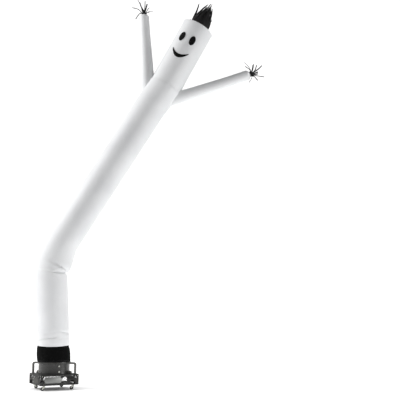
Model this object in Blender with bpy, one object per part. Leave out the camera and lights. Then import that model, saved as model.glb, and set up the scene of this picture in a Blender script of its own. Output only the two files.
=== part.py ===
# Inflatable air dancer of coated ripstop, blown up and leaning, on its wheeled blower.
# Metres, +Z up. The dancer leans towards +X, and its face looks to -Y.
import math

import bmesh
import bpy
from mathutils import Matrix, Vector

for old in list(bpy.data.objects):
    bpy.data.objects.remove(old, do_unlink=True)

# Whole part
FIT_GAP = 0.0003  # between pieces that touch
CLOTH = 0.0011  # coated ripstop at a doubled seam
AXIS_X = -1.337  # the drum's axis, from the middle of the whole part

# Dancer
TUBE_SIDES = 24
ARM_SIDES = 16
TUBE_RADIUS = 0.229  # of the trunk where nothing bends it
SHOULDER_X = 1.530
SHOULDER_Z = 4.397
HEAD_TILT = 28.0
HEAD_LENGTH = 1.043
HEAD_FOOT_RADIUS = 0.2405
HEAD_TOP_RADIUS = 0.242
SHOULDER_RADIUS = 0.2520
SEAM_DEPTH = 0.015  # how far the head's foot runs down inside the shoulder
CAP_RISE = 0.018
VENT_RADIUS = 0.085
ARM_VENT_RADIUS = 0.016
PORT_RADIUS = 0.042  # air hole from the trunk into each arm
PORT_DOWN = 0.088  # centre of that hole below the shoulder
HAIR_RADIUS = 0.148
TASSEL_RADIUS = 0.036
STRAND_THICKNESS = 0.0024

# Blower
DRUM_SIDES = 36
BOX_TURN = 26.1  # degrees about the drum's axis
BOX_SIDE = 0.54
BOX_FOOT = 0.070
BOX_TOP = 0.214
BOX_WALL = 0.002
BOX_EDGE = 0.007
DRUM_RADIUS = 0.2150
DRUM_WALL = 0.003
FLANGE_RADIUS = 0.230
FLANGE_FOOT = 0.350
FLANGE_TOP = 0.376
BAND_RADIUS = 0.2180
RIM_RADIUS = 0.2205
RIM_FOOT = 0.424
RIM_TOP = 0.450
WHEEL_RADIUS = 0.025
WHEEL_SIDES = 16
CASTER_PLACE = 0.208  # of each swivel axis, along both of the box's sides
CASTER_TRAIL = 0.020
AXLE_RADIUS = 0.004
BOLT_LEVELS = (0.2475, 0.3225)

# Trunk sections, foot to shoulder: centre, tilt in degrees, and width across the bend
TRUNK_SECTIONS = (
    # x, z, tilt, width
    (-0.0215, 0.588, 0.0, 0.4450),
    (-0.0215, 0.612, 0.0, 0.4450),
    (-0.024, 0.638, 0.0, 0.4560),
    (-0.026, 0.664, 0.0, 0.4580),
    (-0.027, 0.690, 0.0, 0.4600),
    (-0.028, 0.716, 0.0, 0.4620),
    (-0.029, 0.742, 0.0, 0.4630),
    (-0.030, 0.770, 0.0, 0.4540),
    (-0.032, 0.830, 0.0, 0.4530),
    (-0.038, 0.980, 0.0, 0.4520),
    (-0.050, 1.180, 0.0, 0.4510),
    (-0.061, 1.380, 0.0, 0.4520),
    (-0.068, 1.510, 0.0, 0.4520),
    (-0.071, 1.570, 0.5, 0.4500),
    (-0.072, 1.598, 1.5, 0.4480),
    (-0.076, 1.618, 2.6, 0.4380),
    (-0.086, 1.630, 3.4, 0.4165),
    (-0.063, 1.644, 4.0, 0.4620),
    (-0.0535, 1.656, 4.3, 0.4790),
    (-0.043, 1.708, 6.6, 0.4860),
    (-0.026, 1.768, 8.2, 0.4960),
    (-0.007, 1.842, 11.0, 0.4900),
    (0.021, 1.922, 16.0, 0.4750),
    (0.048, 1.992, 21.5, 0.4630),
    (0.082, 2.064, 27.0, 0.4590),
    (0.124, 2.140, 31.0, 0.4600),
    (0.219, 2.297, 31.5, 0.4620),
    (0.405, 2.600, 31.5, 0.4640),
    (0.636, 2.976, 31.6, 0.4660),
    (0.912, 3.424, 31.7, 0.4680),
    (1.136, 3.790, 31.6, 0.4700),
    (1.305, 4.070, 31.6, 0.4760),
    (1.412, 4.222, 32.5, 0.4880),
)

# Shoulder lip: distance past the shoulder's level, and radius
SHOULDER_LIP = (
    # along, radius
    (-0.045, SHOULDER_RADIUS),
    (-0.012, 0.2510),
    (-0.003, 0.2475),
    (0.000, HEAD_FOOT_RADIUS + 0.0008),
)

# Folds pressed into the trunk: each runs from one side angle and height to another
TRUNK_FOLDS = (
    # angle from, height from, angle to, height to, depth, half width
    (-8.0, 1.622, -84.0, 1.640, 0.016, 0.024),
    (8.0, 1.622, 96.0, 1.650, 0.016, 0.024),
    (-14.0, 1.640, -122.0, 1.815, 0.013, 0.026),
    (14.0, 1.650, 118.0, 1.790, 0.012, 0.026),
    (-170.0, 0.652, -58.0, 0.700, 0.010, 0.017),
    (-112.0, 0.712, 4.0, 0.756, 0.010, 0.017),
    (20.0, 0.690, 128.0, 0.745, 0.010, 0.018),
    (96.0, 0.640, 186.0, 0.668, 0.008, 0.016),
)

# Sleeve sections, flange to trunk: centre, height and radius
SLEEVE_SECTIONS = (
    # x, z, radius
    (-0.002, FLANGE_TOP + FIT_GAP, 0.2262),
    (-0.006, 0.392, 0.2300),
    (-0.0105, 0.456, 0.2340),
    (-0.014, 0.515, 0.2325),
    (-0.019, 0.562, 0.2265),
    (-0.0215, 0.583, 0.2206),
    (-0.0215, 0.607, 0.2204),
)

# Head sections: distance past the shoulder, and radius
HEAD_SECTIONS = (
    # along, radius
    (-SEAM_DEPTH, HEAD_FOOT_RADIUS),
    (0.030, HEAD_FOOT_RADIUS),
    (0.280, 0.2410),
    (0.560, 0.2415),
    (0.820, 0.2420),
    (0.985, 0.2425),
    (HEAD_LENGTH, HEAD_TOP_RADIUS),
)

# Arm centre lines, root to hand, with the tube's width
LEFT_ARM = (
    # x, z, width
    (1.290, 4.330, 0.212),
    (1.266, 4.480, 0.208),
    (1.258, 4.640, 0.198),
    (1.243, 4.920, 0.178),
    (1.224, 5.200, 0.158),
    (1.210, 5.430, 0.150),
    (1.208, 5.475, 0.149),
)
RIGHT_ARM = (
    # x, z, width
    (1.500, 4.172, 0.196),
    (1.640, 4.208, 0.192),
    (1.800, 4.260, 0.184),
    (2.100, 4.363, 0.172),
    (2.420, 4.475, 0.160),
    (2.735, 4.590, 0.153),
    (2.760, 4.599, 0.152),
)

# Hand tassels: where each strand's tip stands from the middle of its ring
LEFT_TASSEL = (
    # x, y, z
    (0.132, 0.000, 0.058),
    (0.085, 0.060, 0.139),
    (0.048, 0.040, 0.187),
    (0.000, 0.090, 0.119),
    (-0.075, 0.060, 0.221),
    (-0.184, 0.030, 0.122),
    (-0.124, -0.030, -0.086),
    (-0.113, -0.040, 0.228),
    (-0.060, -0.090, 0.109),
    (0.022, -0.060, 0.197),
    (0.078, -0.050, 0.019),
)
RIGHT_TASSEL = (
    # x, y, z
    (0.125, 0.000, -0.096),
    (0.229, 0.030, -0.035),
    (0.134, 0.080, 0.036),
    (0.117, 0.060, 0.174),
    (0.062, 0.050, 0.190),
    (-0.080, 0.030, 0.195),
    (-0.074, -0.060, 0.105),
    (0.030, -0.090, 0.120),
    (0.182, -0.050, 0.129),
    (0.120, -0.090, 0.010),
    (-0.020, -0.040, -0.140),
)

# Hair strips round the vent, from the lower side of the lean: reach, tip's radius
HAIR_STRIPS = (
    # reach, tip radius
    (0.230, 0.122),
    (0.330, 0.078),
    (0.260, 0.110),
    (0.390, 0.050),
    (0.300, 0.060),
    (0.380, 0.045),
    (0.330, 0.060),
    (0.405, 0.040),
    (0.280, 0.085),
    (0.391, 0.182),
    (0.075, 0.170),
    (0.300, 0.076),
    (0.400, 0.045),
    (0.350, 0.060),
    (0.420, 0.030),
    (0.300, 0.050),
    (0.430, 0.040),
    (0.360, 0.050),
    (0.415, 0.045),
    (0.200, 0.135),
)

# Face pieces on the head: middle across and down from the cap, and size
FACE_ANGLE = -99.0
FACE_PIECES = (
    # name, across, down, width, height
    ("face_eye_left", -0.085, 0.290, 0.082, 0.150),
    ("face_eye_right", 0.085, 0.290, 0.082, 0.150),
    ("face_smile", 0.000, 0.560, 0.270, 0.120),
)

# Rows that close an arm at the hand: distance past its last station, and share of its radius
HAND_ROWS = (
    # along, share
    (0.012, 0.97),
    (0.026, 0.85),
    (0.038, 0.70),
    (0.0455, 0.53),
    (0.0455, 0.0),
)

# Cloth rules
ARM_RANGE_FOOT = 3.7  # the arms meet the trunk above this height
HEM_TOP = 0.62  # the hem is round below this height
LEAN_FOOT = 2.2  # above it the leaning trunk is round
BEND_HALF_WIDTH = 0.224  # the cloth gets no deeper than this half width gives it
PORT_SIDES = 12
PORT_REACH = 0.10
PATCH_LIFT = FIT_GAP * 1.3
HAIR_RING_HEIGHT = 0.012
HAIR_STIFFNESS = 0.45
HAIR_WIDTHS = (0.90, 0.80, 0.66, 0.44)
TASSEL_RING_HEIGHT = 0.010
TASSEL_STIFFNESS = 0.42
TASSEL_WIDTHS = (0.86, 0.82, 0.78, 0.70)

# Inlet sides of the box
WINDOW_FROM = -0.124
WINDOW_TO = 0.070
WINDOW_FOOT = 0.080
WINDOW_TOP = 0.176
BAFFLE_LENGTH = 0.165
BAFFLE_TURN = 14.0
BAFFLE_TAB = 0.020
BAFFLE_THICKNESS = 0.0015
ARCH_HALF_WIDTH = 0.044
ARCH_HEIGHT = 0.058
ARCH_PLACE = 0.176  # of the plain arches along a side, from its middle
CORNER_ARCH_HALF_WIDTH = 0.042
LATTICE_PITCH = 0.036
LATTICE_ROWS = (0.1045, 0.1345, 0.1645)
DIAMOND_WIDTH = 0.0270
DIAMOND_HEIGHT = 0.0460
BLANK_PLATE_OUTLINE = (
    # along the side, height
    (-0.226, 0.142),
    (-0.208, 0.184),
    (0.006, 0.184),
    (0.028, 0.142),
    (0.006, 0.102),
    (-0.208, 0.102),
)

# Casters: place signs along the box's sides, and the way the wheel trails in degrees
CASTERS = (
    # name, sign x, sign y, trail
    ("front", -1, -1, 168.0),
    ("left", -1, 1, -22.0),
    ("right", 1, -1, 138.0),
    ("back", 1, 1, 150.0),
)


def principled(name, color, roughness, metallic=0.0):
    """One Principled material."""
    material = bpy.data.materials.new(name)
    material.use_nodes = True
    shader = material.node_tree.nodes["Principled BSDF"]
    shader.inputs["Base Color"].default_value = (*color, 1.0)
    shader.inputs["Roughness"].default_value = roughness
    shader.inputs["Metallic"].default_value = metallic
    return material


def empty(name, location, turn=0.0):
    """A frame that pieces are placed in."""
    frame = bpy.data.objects.new(name, None)
    frame.location = location
    frame.rotation_euler = (0.0, 0.0, math.radians(turn))
    bpy.context.scene.collection.objects.link(frame)
    return frame


def add_object(name, mesh, material, parent, helper=False):
    """Links a mesh as one named piece, or as a hidden cutter."""
    piece = bpy.data.objects.new(name, mesh)
    bpy.context.scene.collection.objects.link(piece)
    piece.parent = parent
    if material and not mesh.materials:
        mesh.materials.append(material)
    if helper:
        piece.hide_render = True
        piece.display_type = "WIRE"
    return piece


def mesh_from(name, points, faces, smooth_angle=None):
    """A mesh from points and faces, with its faces turned outwards."""
    shape = bmesh.new()
    verts = [shape.verts.new(point) for point in points]
    for face in faces:
        shape.faces.new([verts[index] for index in face])
    bmesh.ops.recalc_face_normals(shape, faces=shape.faces)
    mesh = bpy.data.meshes.new(name)
    shape.to_mesh(mesh)
    shape.free()
    if smooth_angle:
        mesh.shade_smooth()
        mesh.set_sharp_from_angle(angle=math.radians(smooth_angle))
    return mesh


def boolean(piece, cutter, operation="DIFFERENCE"):
    modifier = piece.modifiers.new(cutter.name, "BOOLEAN")
    modifier.operation = operation
    modifier.solver = "EXACT"
    modifier.object = cutter


def settled_mesh(piece):
    """The piece's mesh with its modifiers worked in, for copies to share."""
    bpy.context.view_layer.update()
    graph = bpy.context.evaluated_depsgraph_get()
    return bpy.data.meshes.new_from_object(piece.evaluated_get(graph))


# Cloth tubes are lists of sections: centre, tilt, half width across the bend and half depth.
def section(x, z, tilt, across, deep=None):
    return (x, z, tilt, across, across if deep is None else deep)


def fold_depth(folds, angle, height):
    """How far the folds press the cloth in at a side angle and height."""
    pressed = 0.0
    for from_angle, from_height, to_angle, to_height, depth, half_width in folds:
        for turn in (-360.0, 0.0, 360.0):
            start = Vector((math.radians(from_angle) * TUBE_RADIUS, from_height))
            end = Vector((math.radians(to_angle) * TUBE_RADIUS, to_height))
            here = Vector((math.radians(angle + turn) * TUBE_RADIUS, height))
            run = end - start
            share = min(1.0, max(0.0, (here - start).dot(run) / run.length_squared))
            away = (here - start - run * share).length
            taper = 1.0 - 0.6 * share
            pressed += depth * taper * math.exp(-((away / half_width) ** 2))
    return pressed


def ring_points(ring, sides, folds=()):
    x, z, tilt, across, deep = ring
    lean = math.radians(tilt)
    points = []
    for index in range(sides):
        angle = 360.0 * index / sides
        turn = math.radians(angle)
        side = across * math.cos(turn)
        back = deep * math.sin(turn)
        if folds:
            side_angle = angle if angle <= 180.0 else angle - 360.0
            height = z - side * math.sin(lean)
            shrink = 1.0 - fold_depth(folds, side_angle, height) / TUBE_RADIUS
            side *= shrink
            back *= shrink
        points.append((x + side * math.cos(lean), back, z - side * math.sin(lean)))
    return points


def inner_sections(rings, thickness):
    """The same sections one cloth thickness further in, square to the tube's wall."""
    lengths = [0.0]
    for before, after in zip(rings, rings[1:]):
        step = Vector((after[0] - before[0], after[1] - before[1]))
        lean = math.radians((before[2] + after[2]) / 2)
        lengths.append(lengths[-1] + step.dot(Vector((math.sin(lean), math.cos(lean)))))
    inner = []
    for index, (x, z, tilt, across, deep) in enumerate(rings):
        low = max(0, index - 1)
        high = min(len(rings) - 1, index + 1)
        grow = (rings[high][3] + rings[high][4] - rings[low][3] - rings[low][4]) / 2
        way = Vector((lengths[high] - lengths[low], grow)).normalized()
        lean = math.radians(tilt)
        shift = thickness * way.y
        x_in = x + shift * math.sin(lean)
        z_in = z + shift * math.cos(lean)
        inset = thickness * way.x
        inner.append((x_in, z_in, tilt, across - inset, deep - inset))
    return inner


def tube_mesh(name, rings, sides, thickness=CLOTH, folds=()):
    """A hollow tube of cloth, open at both ends, with its quads split one way."""
    skins = [rings, inner_sections(rings, thickness)]
    points = [point for skin in skins for ring in skin for point in ring_points(ring, sides, folds)]
    faces = []
    inner_start = len(rings) * sides
    for start in (0, inner_start):
        for row in range(len(rings) - 1):
            for index in range(sides):
                after = (index + 1) % sides
                a = start + row * sides + index
                b = start + row * sides + after
                c = b + sides
                d = a + sides
                faces += [(a, b, c), (a, c, d)]
    for row in (0, len(rings) - 1):
        for index in range(sides):
            after = (index + 1) % sides
            a = row * sides + index
            b = row * sides + after
            faces.append((a, b, inner_start + b, inner_start + a))
    return mesh_from(name, points, faces, 50.0)


def plug_mesh(name, rings, sides, folds=()):
    """A solid tube with flat ends, for cutting."""
    points = [point for ring in rings for point in ring_points(ring, sides, folds)]
    faces = [tuple(range(sides)), tuple(range(len(points) - sides, len(points)))]
    for row in range(len(rings) - 1):
        for index in range(sides):
            after = (index + 1) % sides
            a = row * sides + index
            b = row * sides + after
            faces += [(a, b, b + sides), (a, b + sides, a + sides)]
    return mesh_from(name, points, faces)


def grown(rings, amount):
    return [(x, z, tilt, across + amount, deep + amount) for x, z, tilt, across, deep in rings]


def along_head(along, radius):
    """A round section on the head's own axis."""
    lean = math.radians(HEAD_TILT)
    x = SHOULDER_X + along * math.sin(lean)
    z = SHOULDER_Z + along * math.cos(lean)
    return section(x, z, HEAD_TILT, radius)


def trunk_rings():
    """The cloth keeps its girth, so a section that widens across the bend gets shallower."""
    rings = []
    for x, z, tilt, width in TRUNK_SECTIONS:
        across = width / 2
        deep = across
        if HEM_TOP < z < LEAN_FOOT:
            deep = math.sqrt(2 * TUBE_RADIUS**2 - max(across, BEND_HALF_WIDTH) ** 2)
        rings.append(section(x, z, tilt, across, deep))
    return rings + [along_head(along, radius) for along, radius in SHOULDER_LIP]


def arm_rings(stations):
    """Arm sections square to the centre line, with the hand's end drawn in round its vent."""
    rings = []
    for index, (x, z, width) in enumerate(stations):
        before = stations[max(0, index - 1)]
        after = stations[min(len(stations) - 1, index + 1)]
        tilt = math.degrees(math.atan2(after[0] - before[0], after[1] - before[1]))
        rings.append(section(x, z, tilt, width / 2))
    x, z, tilt, radius, _ = rings[-1]
    lean = math.radians(tilt)
    for along, share in HAND_ROWS:
        end_radius = max(radius * share, ARM_VENT_RADIUS)
        rings.append(section(x + along * math.sin(lean), z + along * math.cos(lean), tilt, end_radius))
    return rings


def port_cutter(name, side, frame):
    """A short bar through the trunk's wall where an arm leaves it."""
    lean = math.radians(HEAD_TILT)
    up = Vector((math.sin(lean), 0.0, math.cos(lean)))
    out = Vector((math.cos(lean), 0.0, -math.sin(lean))) * side
    shape = bmesh.new()
    bmesh.ops.create_cone(
        shape,
        cap_ends=True,
        segments=PORT_SIDES,
        radius1=PORT_RADIUS,
        radius2=PORT_RADIUS,
        depth=PORT_REACH,
    )
    middle = Vector((SHOULDER_X, 0.0, SHOULDER_Z)) - up * PORT_DOWN + out * SHOULDER_RADIUS
    turn = Vector((0.0, 0.0, 1.0)).rotation_difference(out).to_matrix().to_4x4()
    shape.transform(Matrix.Translation(middle) @ turn)
    mesh = bpy.data.meshes.new(name)
    shape.to_mesh(mesh)
    shape.free()
    return add_object(name, mesh, None, frame, helper=True)


def strand_ring(name, seat, axis, radius, height, tips, stiffness, widths, frame, material):
    """A narrow backing ring with one strand drawn up out of each of its top faces."""
    back = Vector((0.0, 1.0, 0.0))
    side = back.cross(axis).normalized()
    count = len(tips)
    points = []
    for index in range(count):
        turn = 2 * math.pi * (index - 0.5) / count
        out = side * math.cos(turn) + back * math.sin(turn)
        for reach, level in box_outline(0.0, STRAND_THICKNESS, 0.0, height):
            points.append(seat + out * (radius + reach) + axis * level)
    faces = []
    for index in range(count):
        a = 4 * index
        b = 4 * ((index + 1) % count)
        faces += [(a, b, b + 1, a + 1), (a + 1, b + 1, b + 2, a + 2)]
        faces.append((a + 3, b + 3, b, a))
        base = [a + 3, a + 2, b + 2, b + 3]
        faces += strand_faces(points, base, axis, tips[index], stiffness, widths)
    return add_object(name, mesh_from(name, points, faces), material, frame)


def strand_faces(points, base, axis, tip, stiffness, widths):
    """Draws one strip from its four root points along a curve to its tip, adding its points."""
    corners = [points[index] for index in base]
    root = sum(corners, Vector()) / 4
    across = (corners[3] - corners[0]).normalized()
    full_width = (corners[3] - corners[0]).length
    bend = root + axis * (tip - root).length * stiffness
    faces = []
    last = base
    steps = len(widths)
    for step, share in enumerate(widths, 1):
        t = step / steps
        middle = root * (1 - t) ** 2 + bend * 2 * t * (1 - t) + tip * t * t
        way = ((bend - root) * (1 - t) + (tip - bend) * t).normalized()
        wide = (across - way * across.dot(way)).normalized() * full_width * share / 2
        thick = wide.cross(way).normalized() * STRAND_THICKNESS / 2
        start = len(points)
        points += [middle - wide - thick, middle - wide + thick]
        points += [middle + wide + thick, middle + wide - thick]
        made = list(range(start, start + 4))
        faces += [(last[i], last[(i + 1) % 4], made[(i + 1) % 4], made[i]) for i in range(4)]
        last = made
    faces.append(tuple(last))
    return faces


def build_cloth(frame):
    white = principled("white_ripstop", (0.86, 0.86, 0.87), 0.55)
    head_white = principled("white_ripstop_head", (0.86, 0.86, 0.87), 0.55)
    cap_white = principled("white_ripstop_cap", (0.84, 0.84, 0.85), 0.6)
    arm_white = principled("white_ripstop_arm", (0.86, 0.86, 0.87), 0.55)
    sleeve_black = principled("black_sleeve_cloth", (0.012, 0.012, 0.013), 0.8)

    trunk_sections = trunk_rings()
    trunk_mesh = tube_mesh("trunk", trunk_sections, TUBE_SIDES, folds=TRUNK_FOLDS)
    trunk = add_object("trunk", trunk_mesh, white, frame)
    head_sections = [along_head(along, radius) for along, radius in HEAD_SECTIONS]
    add_object("head", tube_mesh("head", head_sections, TUBE_SIDES), head_white, frame)

    cap_seat = HEAD_LENGTH + FIT_GAP + CLOTH
    cap_rows = []
    for share in (1.0, 0.965, HAIR_RADIUS / HEAD_TOP_RADIUS, VENT_RADIUS / HEAD_TOP_RADIUS):
        rise = CAP_RISE * (1.0 - share**2)
        cap_rows.append(along_head(cap_seat + rise, HEAD_TOP_RADIUS * share))
    add_object("head_cap", tube_mesh("head_cap", cap_rows, TUBE_SIDES), cap_white, frame)

    sleeve_rows = [section(x, z, 0.0, radius) for x, z, radius in SLEEVE_SECTIONS]
    add_object("blower_sleeve", tube_mesh("blower_sleeve", sleeve_rows, TUBE_SIDES), sleeve_black, frame)

    # The arms end on the trunk and the head's foot, one fitting gap outside them
    near_shoulder = [ring for ring in trunk_sections if ring[1] > ARM_RANGE_FOOT]
    plug = plug_mesh("trunk_plug", grown(near_shoulder, FIT_GAP), TUBE_SIDES)
    trunk_plug = add_object("trunk_plug", plug, None, frame, helper=True)
    plug = plug_mesh("head_plug", grown(head_sections[:4], FIT_GAP), TUBE_SIDES)
    head_plug = add_object("head_plug", plug, None, frame, helper=True)
    for name, stations, side in (("arm_left", LEFT_ARM, -1), ("arm_right", RIGHT_ARM, 1)):
        arm = add_object(name, tube_mesh(name, arm_rings(stations), ARM_SIDES), arm_white, frame)
        boolean(arm, trunk_plug)
        boolean(arm, head_plug)
        boolean(trunk, port_cutter(name + "_port", side, frame))
    return cap_seat


def build_strands(frame, cap_seat):
    black = principled("black_strip_cloth", (0.014, 0.013, 0.014), 0.6)
    lean = math.radians(HEAD_TILT)
    axis = Vector((math.sin(lean), 0.0, math.cos(lean)))
    side = Vector((math.cos(lean), 0.0, -math.sin(lean)))
    back = Vector((0.0, 1.0, 0.0))
    rise = CAP_RISE * (1.0 - (HAIR_RADIUS / HEAD_TOP_RADIUS) ** 2)
    foot = Vector((SHOULDER_X, 0.0, SHOULDER_Z)) + axis * (cap_seat + rise + FIT_GAP)
    tips = []
    for index, (reach, radius) in enumerate(HAIR_STRIPS):
        turn = 2 * math.pi * index / len(HAIR_STRIPS)
        tips.append(foot + axis * reach + (side * math.cos(turn) + back * math.sin(turn)) * radius)
    ring = ("hair", foot, axis, HAIR_RADIUS, HAIR_RING_HEIGHT)
    strand_ring(*ring, tips, HAIR_STIFFNESS, HAIR_WIDTHS, frame, black)

    for name, stations, table in (
        ("tassel_left", LEFT_ARM, LEFT_TASSEL),
        ("tassel_right", RIGHT_ARM, RIGHT_TASSEL),
    ):
        x, z, tilt, _, _ = arm_rings(stations)[-1]
        lean = math.radians(tilt)
        axis = Vector((math.sin(lean), 0.0, math.cos(lean)))
        seat = Vector((x, 0.0, z)) + axis * FIT_GAP
        tips = [seat + Vector(tip) for tip in table]
        cloth = principled(name + "_cloth", (0.020, 0.020, 0.022), 0.6)
        ring = (name, seat, axis, TASSEL_RADIUS, TASSEL_RING_HEIGHT)
        strand_ring(*ring, tips, TASSEL_STIFFNESS, TASSEL_WIDTHS, frame, cloth)


def oval_outline(width, height):
    steps = 14
    turns = [2 * math.pi * step / steps for step in range(steps)]
    return [(width / 2 * math.cos(turn), height / 2 * math.sin(turn)) for turn in turns]


def smile_outline(width, height):
    """A crescent between two arcs, with blunt ends."""
    steps = 7
    low = []
    high = []
    for step in range(steps + 1):
        share = 2 * step / steps - 1
        x = width / 2 * share
        low.append((x, -height / 2 + height * share**2))
        high.append((x, -height * 0.02 + height * 0.62 * share**2))
    return low + high[::-1]


def build_face(frame):
    """Cloth shapes sewn on the head: its own skin one gap further out, cut to each outline."""
    lean = math.radians(HEAD_TILT)
    axis = Vector((math.sin(lean), 0.0, math.cos(lean)))
    side = Vector((math.cos(lean), 0.0, -math.sin(lean)))
    turn = math.radians(FACE_ANGLE)
    out = side * math.cos(turn) + Vector((0.0, 1.0, 0.0)) * math.sin(turn)
    across = axis.cross(out)
    rings = [along_head(along, radius) for along, radius in HEAD_SECTIONS[2:]]
    skin = grown(rings, PATCH_LIFT + CLOTH)
    for name, offset, down, width, height in FACE_PIECES:
        shape_outline = smile_outline if name == "face_smile" else oval_outline
        outline = shape_outline(width, height)
        middle = Vector((SHOULDER_X, 0.0, SHOULDER_Z)) + axis * (HEAD_LENGTH - down) + across * offset
        points = []
        for reach in (0.10, 0.30):
            points += [middle + across * u + axis * v + out * reach for u, v in outline]
        count = len(outline)
        faces = [tuple(range(count)), tuple(range(count, 2 * count))]
        for index in range(count):
            after = (index + 1) % count
            faces.append((index, after, count + after, count + index))
        outline_mesh = mesh_from(name + "_outline", points, faces)
        cutter = add_object(name + "_outline", outline_mesh, None, frame, helper=True)
        black = principled(name + "_cloth", (0.006, 0.006, 0.006), 0.7)
        piece = add_object(name, tube_mesh(name, skin, TUBE_SIDES), black, frame)
        boolean(piece, cutter, "INTERSECT")


# Blower pieces are modelled square to the box and turned by their frame.
def turned_mesh(name, profile, sides, half_step=False, axis="Z"):
    """A closed profile of radius and height, spun round an axis."""
    points = []
    for index in range(sides):
        turn = 2 * math.pi * (index + (0.5 if half_step else 0.0)) / sides
        for radius, level in profile:
            flat = (radius * math.cos(turn), radius * math.sin(turn))
            points.append((*flat, level) if axis == "Z" else (flat[0], level, flat[1]))
    count = len(profile)
    faces = []
    for index in range(sides):
        a = index * count
        b = (index + 1) % sides * count
        for row in range(count):
            after = (row + 1) % count
            faces.append((a + row, b + row, b + after, a + after))
    return mesh_from(name, points, faces, 35.0)


def post_mesh(name, profile, sides):
    """A solid stepped post: profile rows of radius and height from the seat out."""
    points = []
    for radius, level in profile:
        for index in range(sides):
            turn = 2 * math.pi * (index + 0.5) / sides
            points.append((radius * math.cos(turn), radius * math.sin(turn), level))
    faces = [tuple(range(sides)), tuple(range(len(points) - sides, len(points)))]
    for row in range(len(profile) - 1):
        for index in range(sides):
            after = (index + 1) % sides
            a = row * sides
            faces.append((a + index, a + after, a + sides + after, a + sides + index))
    return mesh_from(name, points, faces, 35.0)


def slab_points(outline, low, high, place):
    """A flat outline given thickness: place turns its two values and the level into a point."""
    points = [place(u, v, level) for level in (low, high) for u, v in outline]
    count = len(outline)
    faces = [tuple(range(count)), tuple(range(count, 2 * count))]
    for index in range(count):
        after = (index + 1) % count
        faces.append((index, after, count + after, count + index))
    return points, faces


def slab_mesh(name, slabs):
    """Several slabs that don't meet, in one mesh."""
    points = []
    faces = []
    for slab in slabs:
        new_points, new_faces = slab_points(*slab)
        faces += [tuple(index + len(points) for index in face) for face in new_faces]
        points += new_points
    return mesh_from(name, points, faces)


def box_outline(low_u, high_u, low_v, high_v):
    return [(low_u, low_v), (high_u, low_v), (high_u, high_v), (low_u, high_v)]


def flat(u, v, level):
    return (u, v, level)


def on_side(turns):
    """Places an outline on one side of the box: 0 faces -Y, 1 faces +X, 2 faces +Y and 3 faces -X."""
    spin = Matrix.Rotation(math.radians(90.0 * turns), 3, "Z")
    return lambda u, v, level: spin @ Vector((u, -level, v))


def upright(spin):
    """Places an outline in an upright plane, turned by spin."""
    return lambda u, v, level: spin @ Vector((u, level, v))


def arch_outline(middle, half_width):
    steps = 8
    outline = []
    for step in range(steps + 1):
        turn = math.pi * step / steps
        outline.append((middle + half_width * math.cos(turn), WINDOW_FOOT + ARCH_HEIGHT * math.sin(turn)))
    return outline


def lattice_diamonds(keep_out):
    """Diamond outlines in staggered rows along one side, clear of the ranges in keep_out."""
    half = DIAMOND_WIDTH / 2
    reach = BOX_SIDE / 2 - 0.028
    outlines = []
    for row, level in enumerate(LATTICE_ROWS):
        start = -7 * LATTICE_PITCH + (LATTICE_PITCH / 2 if row % 2 else 0.0)
        for column in range(15):
            u = start + column * LATTICE_PITCH
            blocked = abs(u) + half > reach
            for low, high, top in keep_out:
                blocked |= low < u + half and high > u - half and level - DIAMOND_HEIGHT / 2 < top
            if not blocked:
                tall = DIAMOND_HEIGHT / 2
                outlines.append([(u + half, level), (u, level + tall), (u - half, level), (u, level - tall)])
    return outlines


def hollow_mesh(name, levels):
    """A square block with cut corners, given as rows of half side and height."""
    points = []
    for half, level in levels:
        cut = half - BOX_EDGE
        corners = ((cut, half), (-cut, half), (-half, cut), (-half, -cut))
        points += [(u, v, level) for u, v in corners]
        points += [(-u, -v, level) for u, v in corners]
    faces = [tuple(range(8)), tuple(range(len(points) - 8, len(points)))]
    for row in range(len(levels) - 1):
        for index in range(8):
            a = row * 8 + index
            b = row * 8 + (index + 1) % 8
            faces.append((a, b, b + 8, a + 8))
    return mesh_from(name, points, faces)


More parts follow.
